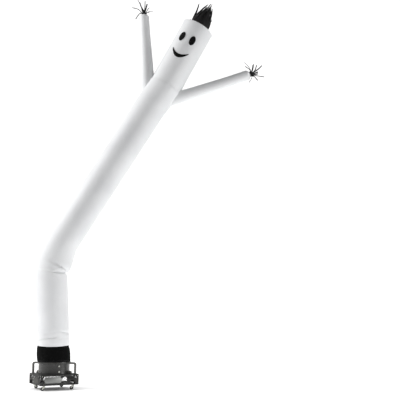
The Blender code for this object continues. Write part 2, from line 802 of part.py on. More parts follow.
def build_box(frame):
    """The blower's pan: folded sheet with diamond lattice, air windows, arches and the drum's hole."""
    powder = principled("box_powder_coat", (0.045, 0.045, 0.044), 0.55, 0.3)
    half = BOX_SIDE / 2
    shape = bmesh.new()
    bmesh.ops.create_cube(shape, size=1.0)
    middle = (BOX_FOOT + BOX_TOP) / 2
    size = Matrix.Diagonal((BOX_SIDE, BOX_SIDE, BOX_TOP - BOX_FOOT, 1.0))
    shape.transform(Matrix.Translation((0.0, 0.0, middle)) @ size)
    edges = [edge for edge in shape.edges if max(vert.co.z for vert in edge.verts) > middle]
    bmesh.ops.bevel(shape, geom=edges, offset=BOX_EDGE, segments=2, profile=0.5, affect="EDGES")
    mesh = bpy.data.meshes.new("blower_box")
    shape.to_mesh(mesh)
    shape.free()
    box = add_object("blower_box", mesh, powder, frame)

    # The hollow follows the pan's rounded corners and its rounded top edge
    inside = half - BOX_WALL
    levels = (
        (inside, BOX_FOOT + BOX_WALL),
        (inside, BOX_TOP - BOX_WALL - BOX_EDGE),
        (inside - BOX_EDGE, BOX_TOP - BOX_WALL),
    )
    boolean(box, add_object("box_hollow", hollow_mesh("box_hollow", levels), None, frame, helper=True))

    low = half - 0.012
    high = half + 0.010
    cuts = []
    arch_top = WINDOW_FOOT + ARCH_HEIGHT + 0.006
    arch_reach = ARCH_HALF_WIDTH + 0.006
    for turns in range(4):
        place = on_side(turns)
        inlet = turns % 2 == 1
        # Arches stand near the left and right corners only; the other two corners have their own
        arch = ARCH_PLACE if turns in (0, 2) else -ARCH_PLACE
        corner = -half if turns in (0, 2) else half
        keep_out = [
            (arch - arch_reach, arch + arch_reach, arch_top),
            (corner - 0.068, corner + 0.068, arch_top),
        ]
        if inlet:
            keep_out.append((-WINDOW_TO - 0.030, -WINDOW_FROM + 0.010, 1.0))
            window = box_outline(-WINDOW_TO, -WINDOW_FROM, WINDOW_FOOT, WINDOW_TOP)
            cuts.append((window, low, high, place))
        cuts.append((arch_outline(arch, ARCH_HALF_WIDTH), low, high, place))
        cuts += [(diamond, low, high, place) for diamond in lattice_diamonds(keep_out)]
    boolean(box, add_object("box_cuts", slab_mesh("box_cuts", cuts), None, frame, helper=True))

    # Two corners are cut right through, square to the diagonal
    diagonal = Matrix.Rotation(math.radians(-45.0), 3, "Z")
    corners = []
    for sign in (-1, 1):
        outline = arch_outline(0.0, CORNER_ARCH_HALF_WIDTH)
        reach = sorted((sign * (half * math.sqrt(2) - 0.075), sign * (half * math.sqrt(2) + 0.02)))
        corners.append((outline, *reach, upright(diagonal)))
    boolean(box, add_object("box_corner_cuts", slab_mesh("box_corner_cuts", corners), None, frame, helper=True))

    mouth = post_mesh("box_mouth", ((0.19, BOX_TOP - 0.02), (0.19, BOX_TOP + 0.02)), 24)
    boolean(box, add_object("box_mouth", mouth, None, frame, helper=True))


def build_baffles(frame):
    """Bent plates behind which the air is drawn in, and the bare plate on the front side."""
    steel = principled("baffle_powder_coat", (0.060, 0.060, 0.058), 0.5, 0.3)
    bend = math.radians(BAFFLE_TURN)
    start = -WINDOW_TO - 0.011
    tab_end = start + BAFFLE_TAB
    face = BOX_SIDE / 2 + FIT_GAP
    inner = (tab_end + BAFFLE_LENGTH * math.cos(bend), face - BAFFLE_LENGTH * math.sin(bend))
    lift = Vector((math.sin(bend), math.cos(bend))) * BAFFLE_THICKNESS
    outline = [
        (start, face),
        (tab_end, face),
        inner,
        (inner[0] + lift.x, inner[1] + lift.y),
        (tab_end, face + BAFFLE_THICKNESS),
        (start, face + BAFFLE_THICKNESS),
    ]
    for name, turns in (("baffle_left", 3), ("baffle_back", 1)):
        place = on_side(turns)
        slab = (outline, WINDOW_FOOT + 0.006, WINDOW_TOP - 0.006, lambda u, v, level: place(u, level, v))
        add_object(name, slab_mesh(name, [slab]), steel, frame)

    silver = principled("blank_plate_metal", (0.50, 0.50, 0.49), 0.45, 0.8)
    plate = (BLANK_PLATE_OUTLINE, face, face + BAFFLE_THICKNESS, on_side(0))
    add_object("blank_plate", slab_mesh("blank_plate", [plate]), silver, frame)


def build_drum(frame):
    coat = principled("drum_powder_coat", (0.060, 0.060, 0.058), 0.5, 0.3)
    black = principled("band_black", (0.010, 0.010, 0.010), 0.6)
    rim_coat = principled("rim_powder_coat", (0.070, 0.070, 0.068), 0.45, 0.3)
    bore = DRUM_RADIUS - DRUM_WALL
    foot = BOX_TOP + FIT_GAP
    drum = (
        (bore, foot),
        (DRUM_RADIUS, foot),
        (DRUM_RADIUS, FLANGE_FOOT),
        (FLANGE_RADIUS, FLANGE_FOOT + 0.004),
        (FLANGE_RADIUS, FLANGE_TOP - 0.003),
        (FLANGE_RADIUS - 0.003, FLANGE_TOP),
        (bore, FLANGE_TOP),
    )
    add_object("drum", turned_mesh("drum", drum, DRUM_SIDES), coat, frame)
    low = FLANGE_TOP + FIT_GAP
    high = RIM_FOOT - FIT_GAP
    band = ((bore, low), (BAND_RADIUS, low), (BAND_RADIUS, high), (bore, high))
    add_object("drum_band", turned_mesh("drum_band", band, DRUM_SIDES), black, frame)
    rim = (
        (bore, RIM_FOOT),
        (RIM_RADIUS - 0.004, RIM_FOOT),
        (RIM_RADIUS, RIM_FOOT + 0.005),
        (RIM_RADIUS, RIM_TOP - 0.007),
        (RIM_RADIUS - 0.006, RIM_TOP),
        (bore, RIM_TOP),
    )
    add_object("drum_rim", turned_mesh("drum_rim", rim, DRUM_SIDES), rim_coat, frame)


def build_guard(frame):
    """The wire guard on the rim, as a flat plate with six spokes and two rings."""
    wire = principled("guard_black_wire", (0.015, 0.015, 0.016), 0.45, 0.2)
    low = RIM_TOP + FIT_GAP
    high = low + 0.004
    reach = RIM_RADIUS - 0.006
    guard = add_object("guard", post_mesh("guard", ((reach, low), (reach, high)), DRUM_SIDES), wire, frame)
    cuts = []
    for near, far in ((0.046, 0.126), (0.133, reach - 0.010)):
        for sector in range(6):
            outline = []
            for radius, order in ((near, (0, 1, 2, 3)), (far, (3, 2, 1, 0))):
                margin = math.degrees(0.005 / radius)
                for step in order:
                    turn = math.radians(60.0 * sector + margin + (60.0 - 2 * margin) * step / 3)
                    outline.append((radius * math.cos(turn), radius * math.sin(turn)))
            cuts.append((outline, low - 0.01, high + 0.01, flat))
    boolean(guard, add_object("guard_cuts", slab_mesh("guard_cuts", cuts), None, frame, helper=True))


def build_motor(frame):
    """The motor on its cross plates, which the drum's bolts hold, and the fan on top."""
    grey = principled("motor_grey", (0.10, 0.10, 0.11), 0.5, 0.4)
    blue = principled("fan_blue_grey", (0.035, 0.045, 0.060), 0.4, 0.2)
    motor = add_object("motor", post_mesh("motor", ((0.058, 0.236), (0.058, 0.344)), 16), grey, frame)
    reach = DRUM_RADIUS - DRUM_WALL - 0.0005
    for name, outline in (
        ("motor_plate_x", box_outline(-reach, reach, -0.002, 0.002)),
        ("motor_plate_y", box_outline(-0.002, 0.002, -reach, reach)),
    ):
        plate = add_object(name, slab_mesh(name, [(outline, 0.240, 0.336, flat)]), None, frame, helper=True)
        boolean(motor, plate, "UNION")

    hub_foot = 0.344 + FIT_GAP
    fan = add_object("fan", post_mesh("fan", ((0.048, hub_foot), (0.048, 0.380)), 15), blue, frame)
    blade = [(0.030, -0.022), (0.198, -0.040), (0.198, 0.040), (0.030, 0.022)]
    for index in range(5):
        name = "fan_blade_" + str(index)
        pitch = Matrix.Rotation(math.radians(32.0), 4, "X")
        lift = Matrix.Translation((0.0, 0.0, 0.372 - 0.008))
        spin = Matrix.Rotation(math.radians(72.0 * index + 12.0), 4, "Z")
        mesh = slab_mesh(name, [(blade, -0.001, 0.001, flat)])
        mesh.transform(spin @ lift @ pitch)
        boolean(fan, add_object(name, mesh, None, frame, helper=True), "UNION")


def build_handles(frame):
    """Two bent bars and two lugs on the box's left and right corners, fitted to the drum's side."""
    coat = principled("handle_powder_coat", (0.110, 0.110, 0.105), 0.45, 0.3)
    profile = (
        (0.10, BOX_TOP),
        (DRUM_RADIUS + FIT_GAP, BOX_TOP),
        (DRUM_RADIUS + FIT_GAP, FLANGE_FOOT - FIT_GAP),
        (FLANGE_RADIUS + FIT_GAP, FLANGE_FOOT + 0.004 - FIT_GAP),
        (FLANGE_RADIUS + FIT_GAP, FLANGE_TOP + 0.02),
        (0.10, FLANGE_TOP + 0.02),
    )
    envelope_mesh = turned_mesh("drum_envelope", profile, DRUM_SIDES)
    envelope = add_object("drum_envelope", envelope_mesh, None, frame, helper=True)
    foot = BOX_TOP + FIT_GAP
    reach = 0.336
    bar = 0.025
    top = 0.371
    bend = 0.034
    near = DRUM_RADIUS - 0.010
    outline = [(reach - bar, foot), (reach, foot)]
    outline += corner_points(reach - bend, top - bend, bend)
    outline += [(near, top), (near, top - bar)]
    outline += corner_points(reach - bend, top - bend, bend - bar)[::-1]
    for name, turn in (("left", 135.0), ("right", -45.0)):
        spin = Matrix.Rotation(math.radians(turn), 3, "Z")
        place = upright(spin)
        handle = slab_mesh("handle_" + name, [(outline, -0.017, 0.017, place)])
        handle_piece = add_object("handle_" + name, handle, coat, frame)
        boolean(handle_piece, envelope)
        lug_outline = [(near, foot), (0.264, foot), (0.264, 0.246), (0.258, 0.252), (near, 0.252)]
        lug = slab_mesh("lug_" + name, [(lug_outline, -0.019, 0.019, place)])
        boolean(add_object("lug_" + name, lug, coat, frame), envelope)


def corner_points(x, z, radius):
    """A quarter turn from straight out to straight up."""
    return [(x + radius * math.cos(math.radians(turn)), z + radius * math.sin(math.radians(turn)))
            for turn in (0.0, 30.0, 60.0, 90.0)]


def build_bolts(frame):
    zinc = principled("zinc_bolt", (0.62, 0.66, 0.68), 0.3, 0.9)
    profile = (
        (0.0125, 0.0),
        (0.0125, 0.0022),
        (0.0090, 0.0024),
        (0.0084, 0.0085),
        (0.0045, 0.0087),
        (0.0040, 0.0120),
    )
    mesh = post_mesh("drum_bolt", profile, 6)
    for turns, side in enumerate(("front", "right", "back", "left")):
        for level, end in zip(BOLT_LEVELS, ("low", "high")):
            bolt = add_object("drum_bolt_" + side + "_" + end, mesh, zinc, frame)
            out = Matrix.Rotation(math.radians(90.0 * turns - 90.0), 3, "Z") @ Vector((1.0, 0.0, 0.0))
            bolt.location = out * (DRUM_RADIUS + FIT_GAP) + Vector((0.0, 0.0, level))
            bolt.rotation_euler = Vector((0.0, 0.0, 1.0)).rotation_difference(out).to_euler()


def fork_mesh(frame):
    """A caster's fork: crown, race, two legs and the axle between them, with its foot on the floor's level."""
    crown_low = 0.0535
    crown_top = 0.0560
    crown = box_outline(-0.017, 0.019, -0.0155, 0.0155)
    base = add_object("fork_base", slab_mesh("fork_base", [(crown, crown_low, crown_top, flat)]), None, frame)
    leg = [
        (-0.017, 0.0548),
        (-0.017, 0.0500),
        (0.0100, 0.0270),
        (0.0130, 0.0180),
        (0.0200, 0.0150),
        (0.0270, 0.0180),
        (0.0290, 0.0270),
        (0.0190, 0.0548),
    ]
    place = upright(Matrix.Identity(3))
    legs = slab_mesh("fork_legs", [(leg, -0.0155, -0.0130, place), (leg, 0.0130, 0.0155, place)])
    boolean(base, add_object("fork_legs", legs, None, frame, helper=True), "UNION")
    race = post_mesh("fork_race", ((0.0150, crown_low + 0.001), (0.0150, 0.0625)), 10)
    boolean(base, add_object("fork_race", race, None, frame, helper=True), "UNION")
    axle = post_mesh("fork_axle", ((AXLE_RADIUS, -0.0175), (AXLE_RADIUS, 0.0175)), 8)
    axle.transform(Matrix.Translation((CASTER_TRAIL, 0.0, WHEEL_RADIUS)) @ Matrix.Rotation(math.pi / 2, 4, "X"))
    boolean(base, add_object("fork_axle", axle, None, frame, helper=True), "UNION")
    mesh = settled_mesh(base)
    bpy.data.objects.remove(base, do_unlink=True)
    mesh.name = "fork"
    return mesh


def build_casters(frame):
    zinc = principled("zinc_plate", (0.62, 0.66, 0.68), 0.35, 0.9)
    rubber = principled("wheel_black", (0.020, 0.020, 0.021), 0.6)
    nut_zinc = principled("zinc_nut", (0.62, 0.66, 0.68), 0.3, 0.9)
    fork = fork_mesh(frame)
    fork.materials.clear()
    fork.materials.append(zinc)
    plate_profile = ((0.019, 0.0628), (0.019, 0.0665), (0.0330, 0.0667), (0.0330, BOX_FOOT - FIT_GAP))
    plate = post_mesh("caster_plate", plate_profile, 12)
    across_flats = WHEEL_RADIUS / math.cos(math.pi / WHEEL_SIDES)
    wheel_profile = (
        (0.0046, -0.0105),
        (0.0130, -0.0105),
        (0.0215, -0.0102),
        (across_flats, -0.0070),
        (across_flats, 0.0070),
        (0.0215, 0.0102),
        (0.0130, 0.0105),
        (0.0046, 0.0105),
    )
    wheel = turned_mesh("caster_wheel", wheel_profile, WHEEL_SIDES, half_step=True, axis="Y")
    nut_foot = BOX_FOOT + BOX_WALL + FIT_GAP
    nut_profile = (
        (0.0095, nut_foot),
        (0.0095, nut_foot + 0.008),
        (0.0050, nut_foot + 0.0082),
        (0.0050, nut_foot + 0.020),
    )
    nut = post_mesh("caster_nut", nut_profile, 8)
    for name, sign_x, sign_y, trail in CASTERS:
        place = (sign_x * CASTER_PLACE, sign_y * CASTER_PLACE, 0.0)
        add_object("caster_plate_" + name, plate, zinc, frame).location = place
        add_object("caster_nut_" + name, nut, nut_zinc, frame).location = place
        holder = add_object("caster_fork_" + name, fork, zinc, frame)
        holder.location = place
        holder.rotation_euler = (0.0, 0.0, math.radians(trail))
        roller = add_object("caster_wheel_" + name, wheel, rubber, holder)
        roller.location = (CASTER_TRAIL, 0.0, WHEEL_RADIUS)


def main():
    dancer_frame = empty("dancer_frame", (AXIS_X, 0.0, 0.0))
    blower_frame = empty("blower_frame", (AXIS_X, 0.0, 0.0), BOX_TURN)
    cap_seat = build_cloth(dancer_frame)
    build_strands(dancer_frame, cap_seat)
    build_face(dancer_frame)
    build_box(blower_frame)
    build_baffles(blower_frame)
    build_drum(blower_frame)
    build_guard(blower_frame)
    build_motor(blower_frame)
    build_handles(blower_frame)
    build_bolts(blower_frame)
    build_casters(blower_frame)


main()
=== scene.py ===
# White air dancer, blown up and leaning on its wheeled blower.
# Ripstop cloth, cut strips, powder-coated sheet steel, zinc fixings and moulded wheels.
import math
import random

import bmesh
import bpy
from mathutils import Matrix, Vector, noise
from mathutils.bvhtree import BVHTree


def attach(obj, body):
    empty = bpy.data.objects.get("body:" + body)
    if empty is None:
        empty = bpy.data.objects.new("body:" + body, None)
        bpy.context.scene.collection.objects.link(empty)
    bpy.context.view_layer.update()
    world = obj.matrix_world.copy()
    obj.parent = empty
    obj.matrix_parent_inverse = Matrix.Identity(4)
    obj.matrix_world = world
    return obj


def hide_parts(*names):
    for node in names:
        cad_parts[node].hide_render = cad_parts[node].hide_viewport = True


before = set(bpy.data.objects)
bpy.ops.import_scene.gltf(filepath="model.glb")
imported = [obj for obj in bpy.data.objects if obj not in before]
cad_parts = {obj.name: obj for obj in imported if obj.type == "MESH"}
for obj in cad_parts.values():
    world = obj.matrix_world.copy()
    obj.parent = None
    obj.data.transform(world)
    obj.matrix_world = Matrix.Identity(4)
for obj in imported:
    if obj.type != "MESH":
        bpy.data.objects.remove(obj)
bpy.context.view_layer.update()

rootBody = "blower_and_dancer"
drumAxisX = -1.337  # metres, where the blower's upright axis stands
clothThickness = 0.0011
tubeRadius = 0.229  # of the blown-up trunk


def linearColour(hexColour):
    parts = [int(hexColour[i:i + 2], 16) / 255 for i in (1, 3, 5)]
    return tuple(p / 12.92 if p <= 0.04045 else ((p + 0.055) / 1.055) ** 2.4 for p in parts) + (1.0,)


# adds one shader node with its settings and its links
def addNode(tree, kind, settings=None, links=None):
    node = tree.nodes.new("ShaderNode" + kind)
    for key, value in (settings or {}).items():
        if isinstance(key, int) or key in node.inputs:
            node.inputs[key].default_value = value
        else:
            setattr(node, key, value)
    for key, source in (links or {}).items():
        tree.links.new(source, node.inputs[key])
    return node


# a material whose Principled shader has its fixed values; the caller adds the patterns
def startMaterial(name, roughness, metallic=0.0, **sockets):
    material = bpy.data.materials.new(name)
    material.use_nodes = True
    tree = material.node_tree
    shader = tree.nodes["Principled BSDF"]
    shader.inputs["Roughness"].default_value = roughness
    shader.inputs["Metallic"].default_value = metallic
    for key, value in sockets.items():
        shader.inputs[key.replace("_", " ")].default_value = value
    return material, tree, shader


print("materials")

clothLook = {
    "white": "#F4F5F6", "whiteWorn": "#E9EAEC", "whiteGrid": "#B4B6B9",
    "black": "#020202", "blackWorn": "#040404", "blackGrid": "#0A0A0A",
    "patch": "#020202", "patchWorn": "#050505",
    "gridMm": 6.0,  # between ripstop's thicker threads
    "crinkleMm": 55.0,  # soft crinkles of blown-up cloth
}


# ripstop nylon, woven and calendered: a faint square grid and small crinkles
def ripstopMaterial(name, colour, worn, gridColour, roughness, crinkle, shine):
    material, tree, shader = startMaterial(
        name, roughness, IOR=1.53, Specular_IOR_Level=shine
    )
    place = addNode(tree, "UVMap", {"uv_map": "clothMetres"}).outputs["UV"]
    body = addNode(tree, "TexCoord").outputs["Object"]
    perMetre = 2 * math.pi / (20 * clothLook["gridMm"] / 1000)  # a wave's scale for one band each grid step
    threads = []
    for direction in ("X", "Y"):
        wave = addNode(
            tree, "TexWave",
            {"wave_type": "BANDS", "bands_direction": direction, "Scale": perMetre}, {"Vector": place},
        ).outputs["Fac"]
        thread = addNode(tree, "MapRange", {"From Min": 0.80, "From Max": 0.97}, {"Value": wave})
        threads.append(thread.outputs[0])
    grid = addNode(tree, "Math", {"operation": "MAXIMUM"}, {0: threads[0], 1: threads[1]}).outputs[0]
    cloud = addNode(tree, "TexNoise", {"Scale": 2.2, "Detail": 4.0}, {"Vector": body}).outputs["Fac"]
    faded = addNode(tree, "MapRange", {"From Min": 0.42, "From Max": 0.78}, {"Value": cloud}).outputs[0]
    tone = addNode(
        tree, "Mix", {"data_type": "RGBA", 6: linearColour(colour), 7: linearColour(worn)}, {0: faded}
    ).outputs[2]
    gridShare = addNode(tree, "Math", {"operation": "MULTIPLY", 1: 0.12}, {0: grid}).outputs[0]
    tone = addNode(tree, "Mix", {"data_type": "RGBA", 7: linearColour(gridColour)}, {0: gridShare, 6: tone})
    tree.links.new(tone.outputs[2], shader.inputs["Base Color"])
    crinkles = addNode(
        tree, "TexNoise",
        {"Scale": 1000 / clothLook["crinkleMm"], "Detail": 5.0, "Roughness": 0.62, "Distortion": 0.8},
        {"Vector": body},
    ).outputs["Fac"]
    woven = addNode(tree, "Bump", {"Strength": 0.25, "Distance": 0.0003}, {"Height": grid}).outputs["Normal"]
    soft = addNode(
        tree, "Bump", {"Strength": crinkle, "Distance": 0.004}, {"Height": crinkles, "Normal": woven}
    )
    tree.links.new(soft.outputs["Normal"], shader.inputs["Normal"])
    return material


whiteRipstop = ripstopMaterial(
    "ripstop nylon, white, calendered",
    clothLook["white"], clothLook["whiteWorn"], clothLook["whiteGrid"], 0.56, 0.12, 0.3,
)
blackRipstop = ripstopMaterial(
    "ripstop nylon, black, uncoated",
    clothLook["black"], clothLook["blackWorn"], clothLook["blackGrid"], 0.88, 0.16, 0.12,
)
blackPatch = ripstopMaterial(
    "nylon patch, black, sewn on",
    clothLook["patch"], clothLook["patchWorn"], clothLook["blackGrid"], 0.70, 0.06, 0.15,
)


# nylon strips, cut with a hot knife: glossier than the tube, with lengthwise streaks
def stripMaterial(name, dark, light, roughness):
    material, tree, shader = startMaterial(
        name, roughness, Sheen_Weight=0.02, Sheen_Roughness=0.35, IOR=1.53, Specular_IOR_Level=0.3
    )
    place = addNode(tree, "UVMap", {"uv_map": "clothMetres"}).outputs["UV"]
    stretched = addNode(tree, "Mapping", {"Scale": (420.0, 7.0, 1.0)}, {"Vector": place}).outputs["Vector"]
    streaks = addNode(tree, "TexNoise", {"Scale": 1.0, "Detail": 3.0}, {"Vector": stretched}).outputs["Fac"]
    tone = addNode(
        tree, "Mix", {"data_type": "RGBA", 6: linearColour(dark), 7: linearColour(light)}, {0: streaks}
    )
    tree.links.new(tone.outputs[2], shader.inputs["Base Color"])
    bump = addNode(tree, "Bump", {"Strength": 0.35, "Distance": 0.0012}, {"Height": streaks})
    tree.links.new(bump.outputs["Normal"], shader.inputs["Normal"])
    return material


hairNylon = stripMaterial("nylon strips, black, hot-knife cut", "#040304", "#1B191B", 0.46)
tasselNylon = stripMaterial("nylon strips, charcoal, hot-knife cut", "#08080A", "#18181A", 0.50)


# polyester thread, twisted: fine slanting plies that catch the light
def threadMaterial(name, dark, light):
    material, tree, shader = startMaterial(name, 0.6, Sheen_Weight=0.3, IOR=1.54)
    body = addNode(tree, "TexCoord").outputs["Object"]
    plies = addNode(
        tree, "TexWave",
        {"wave_type": "BANDS", "bands_direction": "DIAGONAL", "Scale": 120.0}, {"Vector": body},
    ).outputs["Fac"]
    tone = addNode(
        tree, "Mix", {"data_type": "RGBA", 6: linearColour(dark), 7: linearColour(light)}, {0: plies}
    )
    tree.links.new(tone.outputs[2], shader.inputs["Base Color"])
    bump = addNode(tree, "Bump", {"Strength": 0.5, "Distance": 0.0005}, {"Height": plies})
    tree.links.new(bump.outputs["Normal"], shader.inputs["Normal"])
    return material


whiteThread = threadMaterial("polyester thread, white, twisted", "#D2D3D5", "#F0F1F2")
blackThread = threadMaterial("polyester thread, black, twisted", "#0B0B0C", "#262628")


# powder coat baked on sheet steel: fine orange peel, paler where edges have rubbed
def powderCoatMaterial(name, colour, rubbed, roughness, grainMm, depth):
    material, tree, shader = startMaterial(name, roughness, IOR=1.5)
    body = addNode(tree, "TexCoord").outputs["Object"]
    grain = addNode(
        tree, "TexNoise", {"Scale": 1000 / grainMm, "Detail": 3.0, "Roughness": 0.6}, {"Vector": body}
    ).outputs["Fac"]
    cloud = addNode(tree, "TexNoise", {"Scale": 9.0, "Detail": 5.0}, {"Vector": body}).outputs["Fac"]
    dusty = addNode(tree, "MapRange", {"From Min": 0.35, "From Max": 0.75}, {"Value": cloud}).outputs[0]
    tone = addNode(
        tree, "Mix", {"data_type": "RGBA", 6: linearColour(colour), 7: linearColour(rubbed)}, {0: dusty}
    ).outputs[2]
    edge = addNode(tree, "NewGeometry").outputs["Pointiness"]
    worn = addNode(
        tree, "MapRange", {"From Min": 0.53, "From Max": 0.62, "To Max": 0.7}, {"Value": edge}
    ).outputs[0]
    tone = addNode(tree, "Mix", {"data_type": "RGBA", 7: linearColour(rubbed)}, {0: worn, 6: tone}).outputs[2]
    tree.links.new(tone, shader.inputs["Base Color"])
    spread = addNode(
        tree, "MapRange", {"To Min": roughness - 0.06, "To Max": roughness + 0.12}, {"Value": grain}
    ).outputs["Result"]
    tree.links.new(spread, shader.inputs["Roughness"])
    bump = addNode(tree, "Bump", {"Strength": 0.6, "Distance": depth}, {"Height": grain})
    tree.links.new(bump.outputs["Normal"], shader.inputs["Normal"])
    return material


boxCoat = powderCoatMaterial("powder coat, charcoal, textured", "#191918", "#232220", 0.55, 2.2, 0.0004)
drumCoat = powderCoatMaterial("powder coat, iron grey, satin", "#2E2E2D", "#3B3A37", 0.24, 2.2, 0.0003)
rimCoat = powderCoatMaterial("powder coat, charcoal, smooth", "#3A3A3A", "#474745", 0.34, 3.0, 0.0002)
handleCoat = powderCoatMaterial("powder coat, mid grey, semi-gloss", "#646462", "#74736F", 0.40, 3.0, 0.0003)
baffleCoat = powderCoatMaterial("powder coat, pale grey, textured", "#454543", "#51504D", 0.50, 2.2, 0.0004)


# sheet metal with fine lines left by rolling or brushing
def metalMaterial(name, colour, tint, roughness, lineMm, metallic):
    material, tree, shader = startMaterial(name, roughness, metallic)
    body = addNode(tree, "TexCoord").outputs["Object"]
    stretched = addNode(tree, "Mapping", {"Scale": (1000 / lineMm, 60.0, 60.0)}, {"Vector": body})
    lines = addNode(
        tree, "TexNoise", {"Scale": 1.0, "Detail": 2.0}, {"Vector": stretched.outputs["Vector"]}
    ).outputs["Fac"]
    cloud = addNode(tree, "TexNoise", {"Scale": 40.0, "Detail": 4.0}, {"Vector": body}).outputs["Fac"]
    tone = addNode(
        tree, "Mix", {"data_type": "RGBA", 6: linearColour(colour), 7: linearColour(tint)}, {0: cloud}
    )
    tree.links.new(tone.outputs[2], shader.inputs["Base Color"])
    spread = addNode(
        tree, "MapRange", {"To Min": roughness - 0.08, "To Max": roughness + 0.15}, {"Value": lines}
    ).outputs["Result"]
    tree.links.new(spread, shader.inputs["Roughness"])
    bump = addNode(tree, "Bump", {"Strength": 0.3, "Distance": 0.0002}, {"Height": lines})
    tree.links.new(bump.outputs["Normal"], shader.inputs["Normal"])
    return material


# zinc plate, passivated: cool bright grey with a faint yellow cast in places
zincPlate = metalMaterial("zinc plate, passivated, on pressed steel", "#BCC4C9", "#CFC9B4", 0.30, 1.2, 1.0)
# aluminium sheet, rolled and anodised: even, pale and satin
plateAluminium = metalMaterial("aluminium sheet, satin anodised", "#8F908F", "#7F807D", 0.46, 0.9, 1.0)


# moulded rubber, plastic and enamel: slight mottling, a fine satin grain and a few scuffs
def mouldedMaterial(name, colour, scuffed, roughness, grainMm):
    material, tree, shader = startMaterial(name, roughness, IOR=1.5)
    body = addNode(tree, "TexCoord").outputs["Object"]
    grain = addNode(
        tree, "TexNoise", {"Scale": 1000 / grainMm, "Detail": 4.0}, {"Vector": body}
    ).outputs["Fac"]
    marks = addNode(
        tree, "TexNoise", {"Scale": 70.0, "Detail": 6.0, "Roughness": 0.7}, {"Vector": body}
    ).outputs["Fac"]
    scuffs = addNode(
        tree, "MapRange", {"From Min": 0.5, "From Max": 0.72, "To Max": 0.8}, {"Value": marks}
    ).outputs[0]
    tone = addNode(
        tree, "Mix", {"data_type": "RGBA", 6: linearColour(colour), 7: linearColour(scuffed)}, {0: scuffs}
    )
    tree.links.new(tone.outputs[2], shader.inputs["Base Color"])
    bump = addNode(tree, "Bump", {"Strength": 0.3, "Distance": 0.0003}, {"Height": grain})
    tree.links.new(bump.outputs["Normal"], shader.inputs["Normal"])
    return material


treadRubber = mouldedMaterial("rubber, black, moulded tread", "#121212", "#2E2D2B", 0.62, 1.6)
hubNylon = mouldedMaterial("nylon, dark grey, moulded hub", "#333435", "#464645", 0.45, 2.0)
bandRubber = mouldedMaterial("rubber band, black, ribbed", "#101010", "#242423", 0.55, 1.5)
motorPaint = mouldedMaterial("motor enamel, grey, sprayed on cast iron", "#4E5052", "#3A3B3C", 0.50, 2.5)
fanPaint = mouldedMaterial("fan enamel, blue-grey, on pressed sheet steel", "#39424D", "#2B3239", 0.36, 3.0)
wirePaint = mouldedMaterial("wire coating, black, dipped", "#1A1A1B", "#2A2A2A", 0.42, 2.0)


# makes one object from points and faces, with metres along the cloth as its second mapping
def meshPiece(name, points, faces, material, uvs=None, smooth=True, body=rootBody):
    mesh = bpy.data.meshes.new(name)
    mesh.from_pydata([tuple(p) for p in points], [], faces)
    if uvs:
        layer = mesh.uv_layers.new(name="clothMetres")
        flatList = [value for face in uvs for corner in face for value in corner]
        layer.data.foreach_set("uv", flatList)
    mesh.materials.append(material)
    mesh.validate()
    if smooth:
        mesh.shade_smooth()
    piece = bpy.data.objects.new(name, mesh)
    bpy.context.scene.collection.objects.link(piece)
    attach(piece, body)
    return piece


# evens a table of rows into close rows on a smooth line through them
def smoothRows(rows, step):
    lengths = [0.0]
    for before, after in zip(rows, rows[1:]):
        lengths.append(lengths[-1] + math.hypot(after[0] - before[0], after[1] - before[1]))
    slopes = []
    for i in range(len(rows)):
        low, high = max(0, i - 1), min(len(rows) - 1, i + 1)
        span = max(lengths[high] - lengths[low], 1e-9)
        slopes.append([(b - a) / span for a, b in zip(rows[low], rows[high])])
    made = []
    for i in range(len(rows) - 1):
        span = lengths[i + 1] - lengths[i]
        count = max(1, round(span / step))
        for k in range(count):
            t = k / count
            h00, h10 = 2 * t**3 - 3 * t**2 + 1, t**3 - 2 * t**2 + t
            h01, h11 = 3 * t**2 - 2 * t**3, t**3 - t**2
            made.append(tuple(
                h00 * a + h10 * span * ma + h01 * b + h11 * span * mb
                for a, b, ma, mb in zip(rows[i], rows[i + 1], slopes[i], slopes[i + 1])
            ))
    made.append(tuple(rows[-1]))
    return made


# one point of a tube: the ring's place, its lean and its two half widths; angle 0 is the lean's low side
def ringPoint(ring, angle, pressed=0.0):
    x, z, tilt, across, deep = ring
    lean = math.radians(tilt)
    side = (across - pressed) * math.cos(angle)
    back = (deep - pressed) * math.sin(angle)
    return Vector((x + drumAxisX + side * math.cos(lean), back, z - side * math.sin(lean)))


# thin cloth from one surface, its thickness grown to the inner side
def giveThickness(piece, offset=-1.0):
    skin = piece.modifiers.new("clothThickness", "SOLIDIFY")
    skin.thickness = clothThickness
    skin.offset = offset


# builds a cloth tube from close rows, with press(angle, height, metres along) pushing it inwards
def clothTube(name, rings, sides, material, press=None):
    points, uvs, faces = [], [], []
    along = 0.0
    alongs = []
    last = None
    for ring in rings:
        middle = Vector((ring[0], ring[1]))
        if last is not None:
            along += (middle - last).length
        last = middle
        alongs.append(along)
        for i in range(sides):
            angle = 2 * math.pi * i / sides
            height = ring[1] - ring[3] * math.cos(angle) * math.sin(math.radians(ring[2]))
            pressed = press(angle, height, along) if press else 0.0
            points.append(ringPoint(ring, angle, pressed))
    for row in range(len(rings) - 1):
        girth = 2 * math.pi * tubeRadius / sides
        for i in range(sides):
            after = (i + 1) % sides
            a, b = row * sides + i, row * sides + after
            faces.append((a, b, b + sides, a + sides))
            low, high = alongs[row], alongs[row + 1]
            uvs.append(((i * girth, low), ((i + 1) * girth, low), ((i + 1) * girth, high), (i * girth, high)))
    piece = meshPiece(name, points, faces, material, uvs)
    giveThickness(piece)
    return piece


